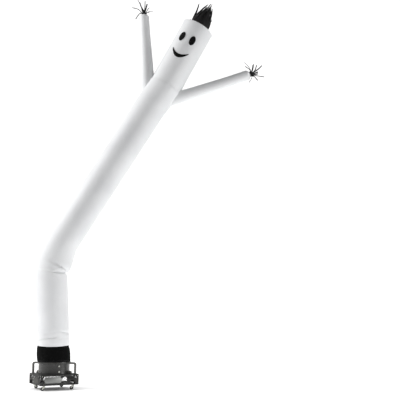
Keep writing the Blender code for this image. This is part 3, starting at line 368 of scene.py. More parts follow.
# depth of a crease: angle and height from, angle and height to, depth, half width, and the roll beside it
def creaseDepth(creases, angle, height):
    degrees = math.degrees(angle)
    degrees = degrees - 360.0 if degrees > 180.0 else degrees
    total = 0.0
    for a0, z0, a1, z1, depth, halfWidth, roll in creases:
        for turn in (-360.0, 0.0, 360.0):
            startX, startY = math.radians(a0) * tubeRadius, z0
            runX, runY = math.radians(a1) * tubeRadius - startX, z1 - z0
            hereX, hereY = math.radians(degrees + turn) * tubeRadius - startX, height - startY
            lengthSquared = runX * runX + runY * runY
            share = (hereX * runX + hereY * runY) / lengthSquared
            held = min(1.0, max(0.0, share))
            offX, offY = hereX - runX * held, hereY - runY * held
            away = math.hypot(offX, offY)
            if away > 4 * halfWidth:
                continue
            signed = offY if abs(runX) > 1e-6 else offX
            taper = (1.0 - 0.6 * held) * min(1.0, 4 * (1.0 - held) + 0.15)
            total += depth * taper * math.exp(-((away / halfWidth) ** 2))
            if roll:
                beside = math.exp(-(((signed + halfWidth * 1.7) / halfWidth) ** 2))
                ends = abs(share - held) * math.sqrt(lengthSquared)
                total -= depth * taper * roll * beside * math.exp(-((ends / halfWidth) ** 2))
    return total


print("camera, light and floor")

cameraSet = {"height": 1.05, "distance": 11.0, "side": 1.42, "lens": 68.31, "pitch": 8.473, "yaw": -3.301}
cameraData = bpy.data.cameras.new("camera")
cameraData.lens = cameraSet["lens"]
cameraData.sensor_width = 36.0
camera = bpy.data.objects.new("camera", cameraData)
camera.location = (cameraSet["side"] + drumAxisX, -cameraSet["distance"], cameraSet["height"])
camera.rotation_euler = (math.radians(90 + cameraSet["pitch"]), 0.0, math.radians(cameraSet["yaw"]))
bpy.context.scene.collection.objects.link(camera)
bpy.context.scene.camera = camera

lightSet = {
    # name: place, aimed at, size in metres, watts
    "keyLeft": ((-9.6, -0.9, 8.4), (-0.3, 0.0, 2.8), 3.4, 900.0),
    "fillRight": ((10.0, -3.2, 2.2), (0.0, 0.0, 2.8), 3.4, 360.0),
}
for name, (place, aim, size, watts) in lightSet.items():
    lampData = bpy.data.lights.new(name, "AREA")
    lampData.shape = "DISK"
    lampData.size = size
    lampData.energy = watts
    lamp = bpy.data.objects.new(name, lampData)
    lamp.location = place
    lamp.rotation_euler = (Vector(aim) - Vector(place)).to_track_quat("-Z", "Y").to_euler()
    bpy.context.scene.collection.objects.link(lamp)

world = bpy.data.worlds.new("softRoom")
world.use_nodes = True
world.node_tree.nodes["Background"].inputs["Color"].default_value = linearColour("#FFFFFF")
world.node_tree.nodes["Background"].inputs["Strength"].default_value = 0.29
bpy.context.scene.world = world
bpy.context.scene.view_settings.view_transform = "Standard"


# the pale floor runs back and curves up into a wall, all in one sweep, lit evenly from behind the object on, with a
# painted shadow under the base
def studioSweep():
    halfWidth, front, middle, turnAt, radius, top = 26.0, -20.0, -6.0, 7.0, 5.0, 22.0
    glowStart, glowFull, glow = -2.2, -1.7, 0.60
    glowMiddle, glowReach, darkReach, shadeReach = 1.2, 6.8, 9.0, 0.5
    profile = [(front, 0.0), (middle, 0.0), (turnAt, 0.0)]
    for step in range(1, 13):
        turn = math.pi / 2 * step / 12
        profile.append((turnAt + radius * math.sin(turn), radius - radius * math.cos(turn)))
    profile.append((turnAt + radius, top))
    points = [(x, y, z) for y, z in profile for x in (-halfWidth, halfWidth)]
    faces = [(2 * i, 2 * i + 1, 2 * i + 3, 2 * i + 2) for i in range(len(profile) - 1)]
    material, tree, shader = startMaterial("studio vinyl, white, matt", 0.9)
    body = addNode(tree, "TexCoord").outputs["Object"]
    mottle = addNode(tree, "TexNoise", {"Scale": 0.6, "Detail": 2.0}, {"Vector": body}).outputs["Fac"]
    tone = addNode(
        tree, "Mix",
        {"data_type": "RGBA", 6: linearColour("#F4F4F4"), 7: linearColour("#F0F0F0")}, {0: mottle},
    )
    tree.links.new(tone.outputs[2], shader.inputs["Base Color"])
    shader.inputs["Emission Color"].default_value = linearColour("#FFFFFF")
    apart = addNode(tree, "SeparateXYZ", None, {"Vector": body})
    behind = addNode(
        tree, "MapRange",
        {"From Min": glowStart, "From Max": glowFull, "To Max": glow}, {"Value": apart.outputs["Y"]},
    ).outputs["Result"]
    across = addNode(tree, "Math", {"operation": "SUBTRACT", 1: glowMiddle}, {0: apart.outputs["X"]}).outputs[0]
    away = addNode(tree, "Math", {"operation": "ABSOLUTE"}, {0: across}).outputs[0]
    lit = addNode(
        tree, "MapRange",
        {"From Min": glowReach, "From Max": darkReach, "To Min": 1.0, "To Max": 0.0}, {"Value": away},
    ).outputs["Result"]
    shining = addNode(tree, "Math", {"operation": "MULTIPLY"}, {0: behind, 1: lit}).outputs[0]
    # painted shadow: ambient occlusion dims the glow where something stands close over the floor, which paints a soft
    # shadow under the base
    near = addNode(tree, "AmbientOcclusion", {"samples": 8, "Distance": shadeReach}).outputs["AO"]
    shining = addNode(tree, "Math", {"operation": "MULTIPLY"}, {0: shining, 1: near}).outputs[0]
    tree.links.new(shining, shader.inputs["Emission Strength"])
    mesh = bpy.data.meshes.new("studioFloor")
    mesh.from_pydata(points, [], faces)
    mesh.materials.append(material)
    mesh.shade_smooth()
    floor = bpy.data.objects.new("studioFloor", mesh)
    bpy.context.scene.collection.objects.link(floor)


studioSweep()

print("trunk")

trunkSet = {
    "sections": (
        # x from the drum's axis, z, tilt in degrees, width across the bend
        (-0.0215, 0.588, 0.0, 0.4450), (-0.0215, 0.612, 0.0, 0.4450), (-0.024, 0.638, 0.0, 0.4560),
        (-0.026, 0.664, 0.0, 0.4580), (-0.027, 0.690, 0.0, 0.4600), (-0.028, 0.716, 0.0, 0.4620),
        (-0.029, 0.742, 0.0, 0.4630), (-0.030, 0.770, 0.0, 0.4540), (-0.032, 0.830, 0.0, 0.4530),
        (-0.038, 0.980, 0.0, 0.4520), (-0.050, 1.180, 0.0, 0.4510), (-0.061, 1.380, 0.0, 0.4520),
        (-0.068, 1.510, 0.0, 0.4520), (-0.071, 1.570, 0.5, 0.4500), (-0.072, 1.598, 1.5, 0.4480),
        (-0.076, 1.618, 2.6, 0.4380), (-0.086, 1.630, 3.4, 0.4165), (-0.063, 1.644, 4.0, 0.4620),
        (-0.0535, 1.656, 4.3, 0.4790), (-0.043, 1.708, 6.6, 0.4860),
        (-0.026, 1.768, 8.2, 0.4960), (-0.007, 1.842, 11.0, 0.4900), (0.021, 1.922, 16.0, 0.4750),
        (0.048, 1.992, 21.5, 0.4630), (0.082, 2.064, 27.0, 0.4590), (0.124, 2.140, 31.0, 0.4600),
        (0.219, 2.297, 31.5, 0.4620), (0.405, 2.600, 31.5, 0.4640), (0.636, 2.976, 31.6, 0.4660),
        (0.912, 3.424, 31.7, 0.4680), (1.136, 3.790, 31.6, 0.4700), (1.305, 4.070, 31.6, 0.4760),
        (1.412, 4.222, 32.5, 0.4880),
    ),
    "lip": ((-0.045, 0.2520), (-0.012, 0.2510), (-0.003, 0.2475), (0.000, 0.2413)),
    "bendHalfWidth": 0.224,
    "folds": (
        # angle and height from, angle and height to, depth, half width, roll beside it
        (-8.0, 1.622, -84.0, 1.640, 0.016, 0.024, 0.0), (8.0, 1.622, 96.0, 1.650, 0.016, 0.024, 0.0),
        (-14.0, 1.640, -122.0, 1.815, 0.013, 0.026, 0.0), (14.0, 1.650, 118.0, 1.790, 0.012, 0.026, 0.0),
        (-174.0, 0.654, -54.0, 0.728, 0.012, 0.015, 0.0), (-110.0, 0.760, -62.0, 0.800, 0.009, 0.014, 0.0),
        (8.0, 0.757, -62.0, 0.802, 0.009, 0.014, 0.0),
        (20.0, 0.690, 128.0, 0.745, 0.010, 0.018, 0.0), (96.0, 0.640, 186.0, 0.668, 0.008, 0.016, 0.0),
        # finer creases that only show up close
        (-19.0, 1.632, -116.0, 1.800, 0.012, 0.012, 0.85), (-14.0, 1.612, -76.0, 1.618, 0.010, 0.009, 0.8),
        (-70.0, 1.586, -48.0, 1.470, 0.005, 0.016, 0.4), (-58.0, 1.705, -84.0, 1.668, 0.005, 0.012, 0.5),
        (-158.0, 0.664, -62.0, 0.724, 0.011, 0.008, 0.8), (-4.0, 0.764, -66.0, 0.800, 0.009, 0.008, 0.8),
        (-64.0, 0.690, -14.0, 0.706, 0.006, 0.008, 0.6), (-140.0, 0.632, -104.0, 0.640, 0.004, 0.008, 0.6),
        (14.0, 1.620, 84.0, 1.632, 0.010, 0.010, 0.8), (30.0, 1.680, 104.0, 1.742, 0.009, 0.012, 0.7),
        (24.0, 0.700, 120.0, 0.742, 0.008, 0.010, 0.8), (100.0, 0.650, 178.0, 0.672, 0.006, 0.009, 0.6),
        (60.0, 0.730, 150.0, 0.780, 0.005, 0.010, 0.6),
    ),
    "sides": 128,
    "step": 0.0125,
    "hemMm": 24.0,
}
shoulder = {"x": 1.530, "z": 4.397, "tilt": 28.0}


# a round ring on the head's own axis, so far past the shoulder
def headRing(along, radius):
    lean = math.radians(shoulder["tilt"])
    x, z = shoulder["x"] + along * math.sin(lean), shoulder["z"] + along * math.cos(lean)
    return (x, z, shoulder["tilt"], radius, radius)


# cloth keeps its girth: a section wider across the bend is shallower
def trunkRings():
    rings = []
    for x, z, tilt, width in smoothRows(trunkSet["sections"], trunkSet["step"]):
        across = width / 2
        blend = min(1.0, max(0.0, (z - 0.612) / 0.026)) * min(1.0, max(0.0, (2.240 - z) / 0.1))
        kept = math.sqrt(2 * tubeRadius**2 - max(across, trunkSet["bendHalfWidth"]) ** 2)
        rings.append((x, z, tilt, across, across * (1 - blend) + kept * blend))
    lipRows = smoothRows([headRing(a, r) for a, r in trunkSet["lip"]], 0.006)
    bridge = [rings[-1], lipRows[0]]
    return rings[:-1] + smoothRows(bridge, trunkSet["step"])[:-1] + lipRows


# smooth chance round a tube, finer with a larger scale
def roundNoise(angle, scale, level):
    return noise.noise(Vector((math.cos(angle) * scale, math.sin(angle) * scale, level)))


# soft swelling of the blown-up tube, creases, and puckers at the hem and the shoulder seam
def trunkPress(angle, height, along):
    pressed = 0.0016 * (roundNoise(angle, 0.9, along * 1.1) + 0.35)
    pressed += creaseDepth(trunkSet["folds"], angle, height)
    hem = trunkSet["hemMm"] / 1000
    if along < hem:
        pressed -= 0.0007  # the hem is turned up, so it is doubled
    nearHem = math.exp(-along / 0.09) * min(1.0, along / 0.03)
    pressed += 0.0035 * nearHem * (roundNoise(angle, 5.5, along * 5) + 0.2)
    left = trunkLength - along
    nearLip = math.exp(-left / 0.07) * min(1.0, left / 0.012)
    pressed += 0.0022 * nearLip * (roundNoise(angle, 9, along * 3) + 0.3)
    return pressed


rings = trunkRings()
trunkLength = sum(math.hypot(b[0] - a[0], b[1] - a[1]) for a, b in zip(rings, rings[1:]))
trunk = clothTube("trunkCloth", rings, trunkSet["sides"], whiteRipstop, trunkPress)


# the hem hangs lower at the front than at the sides
def dipFront(piece):
    for vertex in piece.data.vertices:
        reach = min(1.0, max(0.0, (0.670 - vertex.co.z) / 0.07))
        front = min(1.0, max(0.0, -vertex.co.y / 0.2225))
        vertex.co.z += 0.012 * reach * (1.0 - front**2)


dipFront(trunk)
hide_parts("trunk")

print("head and cap")

headSet = {
    "length": 1.043, "radius": 0.242, "sides": 112, "step": 0.014,
    "sections": (
        (-0.015, 0.2405), (0.030, 0.2405), (0.280, 0.2410), (0.560, 0.2415), (0.820, 0.2420), (0.985, 0.2425),
        (1.043, 0.2420),
    ),
    "capRise": 0.018, "vent": 0.085,
    "capRows": (1.0, 0.992, 0.975, 0.93, 0.86, 0.76, 0.66, 0.548, 0.45, 0.353),
}


def headPress(angle, height, along):
    pressed = 0.0014 * (roundNoise(angle, 1, along * 1.6 + 7.0) + 0.35)
    left = headLength - along
    nearCap = math.exp(-left / 0.05) * min(1.0, left / 0.010)
    pressed += 0.0024 * nearCap * (roundNoise(angle, 8, along * 4) + 0.3)
    nearFoot = math.exp(-max(0.0, along - 0.015) / 0.08)
    pressed += 0.0016 * nearFoot * (roundNoise(angle, 7, 3.0 + along * 4) + 0.3)
    return pressed


headRings = smoothRows([headRing(a, r) for a, r in headSet["sections"]], headSet["step"])
headLength = headSet["length"] + 0.015
head = clothTube("headCloth", headRings, headSet["sides"], whiteRipstop, headPress)
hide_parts("head")

capSeat = headSet["length"] + 0.0003 + clothThickness
capRings = []
for share in headSet["capRows"]:
    rise = headSet["capRise"] * (1.0 - share**2)
    capRings.append(headRing(capSeat + rise, headSet["radius"] * share))
cap = clothTube("capCloth", smoothRows(capRings, 0.008), headSet["sides"], whiteRipstop)
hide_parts("head_cap")


# a rolled seam: a thin round bead along a closed line of points, with a pucker at each stitch
def seamBead(name, line, radius, material, pitch=0.012):
    count = len(line)
    points, faces = [], []
    sides = 6
    length = sum((line[(i + 1) % count] - line[i]).length for i in range(count))
    waves = max(4, round(length / pitch))
    for i, here in enumerate(line):
        way = (line[(i + 1) % count] - line[i - 1]).normalized()
        first = way.orthogonal().normalized() if i == 0 else (first - way * first.dot(way)).normalized()
        second = way.cross(first)
        swell = radius * (1.0 + 0.18 * math.sin(2 * math.pi * waves * i / count))
        for k in range(sides):
            turn = 2 * math.pi * k / sides
            points.append(here + first * math.cos(turn) * swell + second * math.sin(turn) * swell)
    for i in range(count):
        for k in range(sides):
            a, b = i * sides + k, i * sides + (k + 1) % sides
            c, d = ((i + 1) % count) * sides + (k + 1) % sides, ((i + 1) % count) * sides + k
            faces.append((a, b, c, d))
    return meshPiece(name, points, faces, material)


def ringLine(ring, count, grow=0.0):
    x, z, tilt, across, deep = ring
    grown = (x, z, tilt, across + grow, deep + grow)
    return [ringPoint(grown, 2 * math.pi * i / count) for i in range(count)]


capEdge = headRing(headSet["length"] + 0.0006, headSet["radius"] + 0.0002)
seamBead("capSeam", ringLine(capEdge, 160), 0.0024, whiteRipstop)
ventEdge = headRing(capSeat + headSet["capRise"] * (1 - headSet["capRows"][-1] ** 2), headSet["vent"])
seamBead("ventSeam", ringLine(ventEdge, 80), 0.0018, whiteThread)
seamBead("shoulderSeam", ringLine(headRing(-0.004, 0.2482), 200), 0.0022, whiteRipstop)
hemLine = ringLine((-0.0215, 0.588 + 0.020, 0.0, 0.2228, 0.2228), 220)
dipFront(seamBead("hemThread", hemLine, 0.0007, whiteThread, 0.006))

print("arms")

armSet = {
    "left": ((1.290, 4.330, 0.212), (1.266, 4.480, 0.208), (1.258, 4.640, 0.198), (1.243, 4.920, 0.178),
             (1.224, 5.200, 0.158), (1.210, 5.430, 0.150), (1.208, 5.475, 0.149)),
    "right": ((1.500, 4.172, 0.196), (1.640, 4.208, 0.192), (1.800, 4.260, 0.184), (2.100, 4.363, 0.172),
              (2.420, 4.475, 0.160), (2.735, 4.590, 0.153), (2.760, 4.599, 0.152)),
    "sides": 64, "rows": 92, "vent": 0.016,
    "end": ((0.006, 0.993), (0.012, 0.97), (0.019, 0.92), (0.026, 0.85), (0.032, 0.785), (0.038, 0.70),
            (0.0425, 0.615), (0.0455, 0.53), (0.0456, 0.40), (0.0455, 0.0)),
}


def armRings(stations):
    close = smoothRows(stations, 0.012)
    made = []
    for i, (x, z, width) in enumerate(close):
        before, after = close[max(0, i - 1)], close[min(len(close) - 1, i + 1)]
        tilt = math.degrees(math.atan2(after[0] - before[0], after[1] - before[1]))
        made.append((x, z, tilt, width / 2, width / 2))
    x, z, tilt, radius = made[-1][:4]
    lean = math.radians(tilt)
    for along, share in armSet["end"]:
        size = max(radius * share, armSet["vent"])
        made.append((x + along * math.sin(lean), z + along * math.cos(lean), tilt, size, size))
    return made


bpy.context.view_layer.update()
dressed = bpy.context.evaluated_depsgraph_get()
wallTrees = []
for wall in (trunk, head):
    copy = wall.evaluated_get(dressed).to_mesh()
    corners = [v.co.copy() for v in copy.vertices]
    wallTrees.append(BVHTree.FromPolygons(corners, [tuple(p.vertices) for p in copy.polygons]))


# follows one lengthwise line of an arm from the hand back to where it meets the trunk or the head
def rootShare(line):
    for i in range(len(line) - 1, 0, -1):
        step = line[i - 1] - line[i]
        for tree in wallTrees:
            hit = tree.ray_cast(line[i], step.normalized(), step.length + 0.0012)
            if hit[0] is not None:
                return i - (hit[3] - 0.0012) / step.length
    return 0.0


def armCloth(name, stations, seed):
    rings = armRings(stations)
    sides, rows = armSet["sides"], armSet["rows"]
    endRows = len(armSet["end"])
    lines = [[ringPoint(ring, 2 * math.pi * i / sides) for ring in rings] for i in range(sides)]
    roots = [rootShare(line[:-endRows]) for line in lines]
    tubeLast = len(rings) - endRows - 1
    points, faces, uvs = [], [], []
    rootLine = []
    for row in range(rows + endRows):
        for i in range(sides):
            angle = 2 * math.pi * i / sides
            if row < rows:
                t = roots[i] + (tubeLast - roots[i]) * row / (rows - 1)
                low = min(int(t), tubeLast - 1)
                share = t - low
                here = lines[i][low].lerp(lines[i][low + 1], share)
                ring = rings[low]
                middle = Vector((ring[0] + drumAxisX, 0.0, ring[1]))
                inward = (middle - here).normalized()
                fromRoot = (t - roots[i]) * 0.012
                pucker = math.exp(-fromRoot / 0.05) * min(1.0, fromRoot / 0.010)
                toHand = (tubeLast - t) * 0.012
                gather = math.exp(-toHand / 0.03) * min(1.0, toHand / 0.006)
                wave = roundNoise(angle, 4.5, seed + fromRoot * 6)
                slow = roundNoise(angle, 1, seed + fromRoot * 2.2)
                here = here + inward * (
                    0.0012 * (slow + 0.35) + 0.0030 * pucker * (wave + 0.3) + 0.0022 * gather * (wave + 0.3)
                )
                if row == 0:
                    rootLine.append(here.copy())
            else:
                here = lines[i][len(rings) - endRows + row - rows]
            points.append(here)
    girth = math.pi * 0.17 / sides
    for row in range(rows + endRows - 1):
        for i in range(sides):
            after = (i + 1) % sides
            a, b = row * sides + i, row * sides + after
            faces.append((a, b, b + sides, a + sides))
            low, high = row * 0.012, (row + 1) * 0.012
            uvs.append(((i * girth, low), ((i + 1) * girth, low), ((i + 1) * girth, high), (i * girth, high)))
    arm = meshPiece(name, points, faces, whiteRipstop, uvs)
    giveThickness(arm)
    seamBead(name + "Seam", rootLine, 0.0026, whiteRipstop, 0.010)
    return arm, rings[-1]


armLeft, leftEnd = armCloth("armLeftCloth", armSet["left"], 2.0)
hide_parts("arm_left")
armRight, rightEnd = armCloth("armRightCloth", armSet["right"], 9.0)
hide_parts("arm_right")

print("sleeve")

sleeveSet = {
    "sections": ((-0.002, 0.3763, 0.2262), (-0.006, 0.392, 0.2300), (-0.0105, 0.456, 0.2340), (-0.014, 0.515, 0.2325),
                 (-0.019, 0.562, 0.2265), (-0.0215, 0.583, 0.2206), (-0.0215, 0.607, 0.2204)),
    "creases": ((-150.0, 0.560, -70.0, 0.548, 0.0035, 0.010, 0.7), (-60.0, 0.545, -10.0, 0.560, 0.003, 0.010, 0.7),
                (-120.0, 0.470, -60.0, 0.486, 0.003, 0.012, 0.6), (20.0, 0.550, 110.0, 0.538, 0.0035, 0.010, 0.7),
                (120.0, 0.500, 200.0, 0.520, 0.003, 0.011, 0.6)),
}


def sleevePress(angle, height, along):
    pressed = creaseDepth(sleeveSet["creases"], angle, height)
    gather = roundNoise(angle, 6, along * 4)
    fade = min(1.0, along / 0.03) * min(1.0, max(0.0, 0.20 - along) / 0.03)
    pressed += 0.0022 * fade * (gather + 0.3)
    if along < 0.022:
        pressed -= 0.0005
    return pressed


sleeveRings = [(x, z, 0.0, r, r) for x, z, r in smoothRows(sleeveSet["sections"], 0.0055)]
sleeve = clothTube("sleeveCloth", sleeveRings, 128, blackRipstop, sleevePress)
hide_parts("blower_sleeve")
sleeveHem = ringLine((-0.006, 0.3763 + 0.019, 0.0, 0.2312, 0.2312), 200)
seamBead("sleeveHemThread", sleeveHem, 0.0007, blackThread, 0.006)

print("face")

faceSet = {
    "angle": -99.0, "lift": 0.0007,
    "pieces": {
        # across, down from the cap, width, height
        "faceEyeLeft": ("face_eye_left", -0.085, 0.290, 0.082, 0.150),
        "faceEyeRight": ("face_eye_right", 0.085, 0.290, 0.082, 0.150),
        "faceSmile": ("face_smile", 0.000, 0.560, 0.270, 0.120),
    },
}


def headRadius(along):
    rows = headSet["sections"]
    for (a0, r0), (a1, r1) in zip(rows, rows[1:]):
        if along <= a1:
            return r0 + (r1 - r0) * (along - a0) / (a1 - a0)
    return rows[-1][1]


# a point on the head's front, measured flat across it and along it
def onHead(across, along, lift):
    lean = math.radians(shoulder["tilt"])
    turn = math.radians(faceSet["angle"])
    axis = Vector((math.sin(lean), 0.0, math.cos(lean)))
    side = Vector((math.cos(lean), 0.0, -math.sin(lean)))
    out = side * math.cos(turn) + Vector((0.0, 1.0, 0.0)) * math.sin(turn)
    cross = axis.cross(out)
    radius = headRadius(along) + lift
    foot = Vector((shoulder["x"] + drumAxisX, 0.0, shoulder["z"])) + axis * along
    return foot + cross * across + out * math.sqrt(max(radius**2 - across**2, 1e-6))


def smileEdge(share, width, height):
    x = width / 2 * share
    low = -height / 2 + height * share**2
    high = -height * 0.02 + height * 0.62 * share**2
    return x, low, high


for name, (node, across, down, width, height) in faceSet["pieces"].items():
    points, faces, uvs = [], [], []
    middle = headSet["length"] - down
    lift = faceSet["lift"] + clothThickness
    border = []
    if node == "face_smile":
        columns, rows = 56, 10
        grid = []
        for i in range(columns + 1):
            share = (2 * i / columns - 1) * 0.97
            x, low, high = smileEdge(share, width, height)
            for k in range(rows + 1):
                grid.append((x, low + (high - low) * k / rows))
        faces = [
            (i * (rows + 1) + k, (i + 1) * (rows + 1) + k, (i + 1) * (rows + 1) + k + 1, i * (rows + 1) + k + 1)
            for i in range(columns) for k in range(rows)
        ]
        border = [grid[i * (rows + 1)] for i in range(columns + 1)]
        border += [grid[columns * (rows + 1) + k] for k in range(1, rows + 1)]
        border += [grid[i * (rows + 1) + rows] for i in range(columns - 1, -1, -1)]
        border += [grid[k] for k in range(rows - 1, 0, -1)]
    else:
        rounds, sides = 8, 56
        grid = [(0.0, 0.0)]
        for k in range(1, rounds + 1):
            for i in range(sides):
                turn = 2 * math.pi * i / sides
                u = width / 2 * k / rounds * math.cos(turn)
                grid.append((u, height / 2 * k / rounds * math.sin(turn)))
        faces = [(0, 1 + i, 1 + (i + 1) % sides) for i in range(sides)]
        for k in range(rounds - 1):
            base = 1 + k * sides
            for i in range(sides):
                after = (i + 1) % sides
                faces.append((base + i, base + sides + i, base + sides + after, base + after))
        border = grid[-sides:]
    points = [onHead(across + u, middle + v, lift) for u, v in grid]
    uvs = [[grid[i] for i in face] for face in faces]
    patch = meshPiece(name, points, faces, blackPatch, uvs)
    outward = patch.data.polygons[0].normal.dot(Vector((0.0, -1.0, 0.0)))
    giveThickness(patch, -1.0 if outward > 0 else 1.0)
    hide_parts(node)
    line = [onHead(across + u * 0.985, middle + v * 0.985, lift + 0.0004) for u, v in border]
    seamBead(name + "Stitch", line, 0.0016, blackThread, 0.005)

print("hair and tassels")

stripSet = {
    "hair": (
        # reach, tip radius, round the vent from the lower side of the lean
        (0.230, 0.122), (0.330, 0.078), (0.260, 0.110), (0.390, 0.050), (0.300, 0.060), (0.380, 0.045), (0.330, 0.060),
        (0.405, 0.040), (0.280, 0.085), (0.391, 0.182), (0.075, 0.170), (0.300, 0.076), (0.400, 0.045), (0.350, 0.060),
        (0.420, 0.030), (0.300, 0.050), (0.430, 0.040), (0.360, 0.050), (0.415, 0.045), (0.200, 0.135),
    ),
    "tasselLeft": (
        # tip from the middle of the hand: x, y, z
        (0.132, 0.000, 0.058), (0.085, 0.060, 0.139), (0.048, 0.040, 0.187), (0.000, 0.090, 0.119),
        (-0.075, 0.060, 0.221), (-0.184, 0.030, 0.122), (-0.124, -0.030, -0.086), (-0.113, -0.040, 0.228),
        (-0.060, -0.090, 0.109), (0.022, -0.060, 0.197), (0.078, -0.050, 0.019),
    ),
    "tasselRight": (
        (0.125, 0.000, -0.096), (0.229, 0.030, -0.035), (0.134, 0.080, 0.036), (0.117, 0.060, 0.174),
        (0.062, 0.050, 0.190), (-0.080, 0.030, 0.195), (-0.074, -0.060, 0.105), (0.030, -0.090, 0.120),
        (0.182, -0.050, 0.129), (0.120, -0.090, 0.010), (-0.020, -0.040, -0.140),
    ),
    "hairRadius": 0.148, "tasselRadius": 0.036, "backing": 0.012, "thickness": 0.0016,
}


# one cut strip from its root to its tip, thin and slightly cupped, with a lazy wave and a hooked end
def addStrip(points, faces, uvs, root, axis, across, tip, stiffness, rootWidth, tipWidth, wave, fold, seed):
    steps = 12
    chance = random.Random(seed)
    bend = root + axis * (tip - root).length * stiffness
    phase = chance.uniform(0.0, 6.28)
    twist = chance.uniform(-0.7, 0.7)
    start = len(points)
    length = (tip - root).length
    for step in range(steps + 1):
        t = step / steps
        middle = root * (1 - t) ** 2 + bend * 2 * t * (1 - t) + tip * t * t
        way = ((bend - root) * (1 - t) + (tip - bend) * t).normalized()
        wide = (across - way * across.dot(way)).normalized()
        thin = way.cross(wide).normalized()
        turned = wide * math.cos(twist * t) + thin * math.sin(twist * t)
        flat = way.cross(turned).normalized()
        middle = middle + flat * (wave * math.sin(phase + 7.0 * t) * t)
        middle = middle + turned * (wave * 0.6 * math.sin(phase * 1.7 + 5.0 * t) * t)
        half = (rootWidth + (tipWidth - rootWidth) * t) / 2
        thick = stripSet["thickness"] / 2
        cup = half * fold
        points += [
            middle - turned * half - flat * (thick - cup), middle - flat * thick,
            middle + turned * half - flat * (thick - cup), middle + turned * half + flat * (thick + cup),
            middle + flat * thick, middle - turned * half + flat * (thick + cup),
        ]
    for step in range(steps):
        a = start + step * 6
        low, high = step * length / steps, (step + 1) * length / steps
        for k in range(6):
            after = (k + 1) % 6
            faces.append((a + k, a + after, a + 6 + after, a + 6 + k))
            u = (k % 3) * rootWidth / 2
            uvs.append(((u, low), (u + rootWidth / 2, low), (u + rootWidth / 2, high), (u, high)))
    faces.append(tuple(start + k for k in reversed(range(6))))
    uvs.append([(0.0, 0.0)] * 6)
    end = start + steps * 6
    faces.append(tuple(end + k for k in range(6)))
    uvs.append([(0.0, length)] * 6)


# strips sewn into a narrow backing ring
def stripBunch(name, seat, axis, radius, height, tips, copies, stiffness, widths, wave, fold, material, seed):
    back = Vector((0.0, 1.0, 0.0))
    side = back.cross(axis).normalized()
    points, faces, uvs = [], [], []
    chance = random.Random(seed)
    around = 48
    wall = 0.0024
    for i in range(around):
        turn = 2 * math.pi * i / around
        out = side * math.cos(turn) + back * math.sin(turn)
        for reach, level in ((0.0, 0.0), (wall, 0.0), (wall, height), (0.0, height)):
            points.append(seat + out * (radius + reach) + axis * level)
    for i in range(around):
        a, b = 4 * i, 4 * ((i + 1) % around)
        for k in range(4):
            after = (k + 1) % 4
            faces.append((a + k, b + k, b + after, a + after))
            uvs.append([(0.0, 0.0)] * 4)
    total = len(tips) * copies
    for i, tip in enumerate(tips):
        for k in range(copies):
            turn = 2 * math.pi * (i * copies + k + 0.5 - copies / 2) / total
            out = side * math.cos(turn) + back * math.sin(turn)
            tangent = back * math.cos(turn) - side * math.sin(turn)
            root = seat + out * (radius + wall / 2) + axis * (height - 0.004)
            spread = tangent * chance.uniform(-0.016, 0.016) + out * chance.uniform(-0.014, 0.008)
            reach = 1.0 if k == copies // 2 else chance.uniform(0.74, 0.98)
            goal = root + (tip - root) * reach + (spread if copies > 1 else Vector())
            addStrip(
                points, faces, uvs, root, axis, tangent, goal, stiffness,
                widths[0] * chance.uniform(0.85, 1.15), widths[1] * chance.uniform(0.7, 1.2), wave, fold,
                seed + 31 * i + k,
            )
    return meshPiece(name, points, faces, material, uvs)


lean = math.radians(shoulder["tilt"])
headAxis = Vector((math.sin(lean), 0.0, math.cos(lean)))
headSide = Vector((math.cos(lean), 0.0, -math.sin(lean)))
hairRise = headSet["capRise"] * (1.0 - (stripSet["hairRadius"] / headSet["radius"]) ** 2)
hairFoot = Vector((shoulder["x"] + drumAxisX, 0.0, shoulder["z"])) + headAxis * (capSeat + hairRise + 0.0003)
hairTips = []
for i, (reach, radius) in enumerate(stripSet["hair"]):
    turn = 2 * math.pi * i / len(stripSet["hair"])
    out = headSide * math.cos(turn) + Vector((0.0, 1.0, 0.0)) * math.sin(turn)
    hairTips.append(hairFoot + headAxis * reach + out * radius)
hair = stripBunch(
    "hairStrips", hairFoot, headAxis, stripSet["hairRadius"], stripSet["backing"], hairTips, 4, 0.45,
    (0.030, 0.013), 0.007, 0.16, hairNylon, 11,
)
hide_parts("hair")

for name, node, end, tips, seed in (
    ("tasselLeftStrips", "tassel_left", leftEnd, stripSet["tasselLeft"], 40),
    ("tasselRightStrips", "tassel_right", rightEnd, stripSet["tasselRight"], 77),
):
    lean = math.radians(end[2])
    axis = Vector((math.sin(lean), 0.0, math.cos(lean)))
    seat = Vector((end[0] + drumAxisX, 0.0, end[1])) + axis * 0.0003
    places = [seat + Vector(tip) for tip in tips]
    tassel = stripBunch(
        name, seat, axis, stripSet["tasselRadius"], 0.010, places, 1, 0.42,
        (0.021, 0.019), 0.004, 0.7, tasselNylon, seed,
    )
    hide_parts(node)

print("blower sheet metal")

blowerTurn = 26.1
toBlower = Matrix.Translation((drumAxisX, 0.0, 0.0)) @ Matrix.Rotation(math.radians(blowerTurn), 4, "Z")
panSet = {
    "side": 0.54, "foot": 0.070, "top": 0.214, "wall": 0.002, "edge": 0.007, "mouth": 0.19,
    "window": (-0.124, 0.070, 0.080, 0.176), "archWidth": 0.044, "archHeight": 0.058, "archPlace": 0.176,
    "cornerArch": 0.042, "archFoot": 0.080,
    "cellPitch": 0.0200, "cellRow": 0.0195, "cellWide": 0.0164, "cellHigh": 0.0320,  # ribs come to 3 mm
    "cellRows": (0.1035, 0.1230, 0.1425, 0.1620, 0.1815),
}


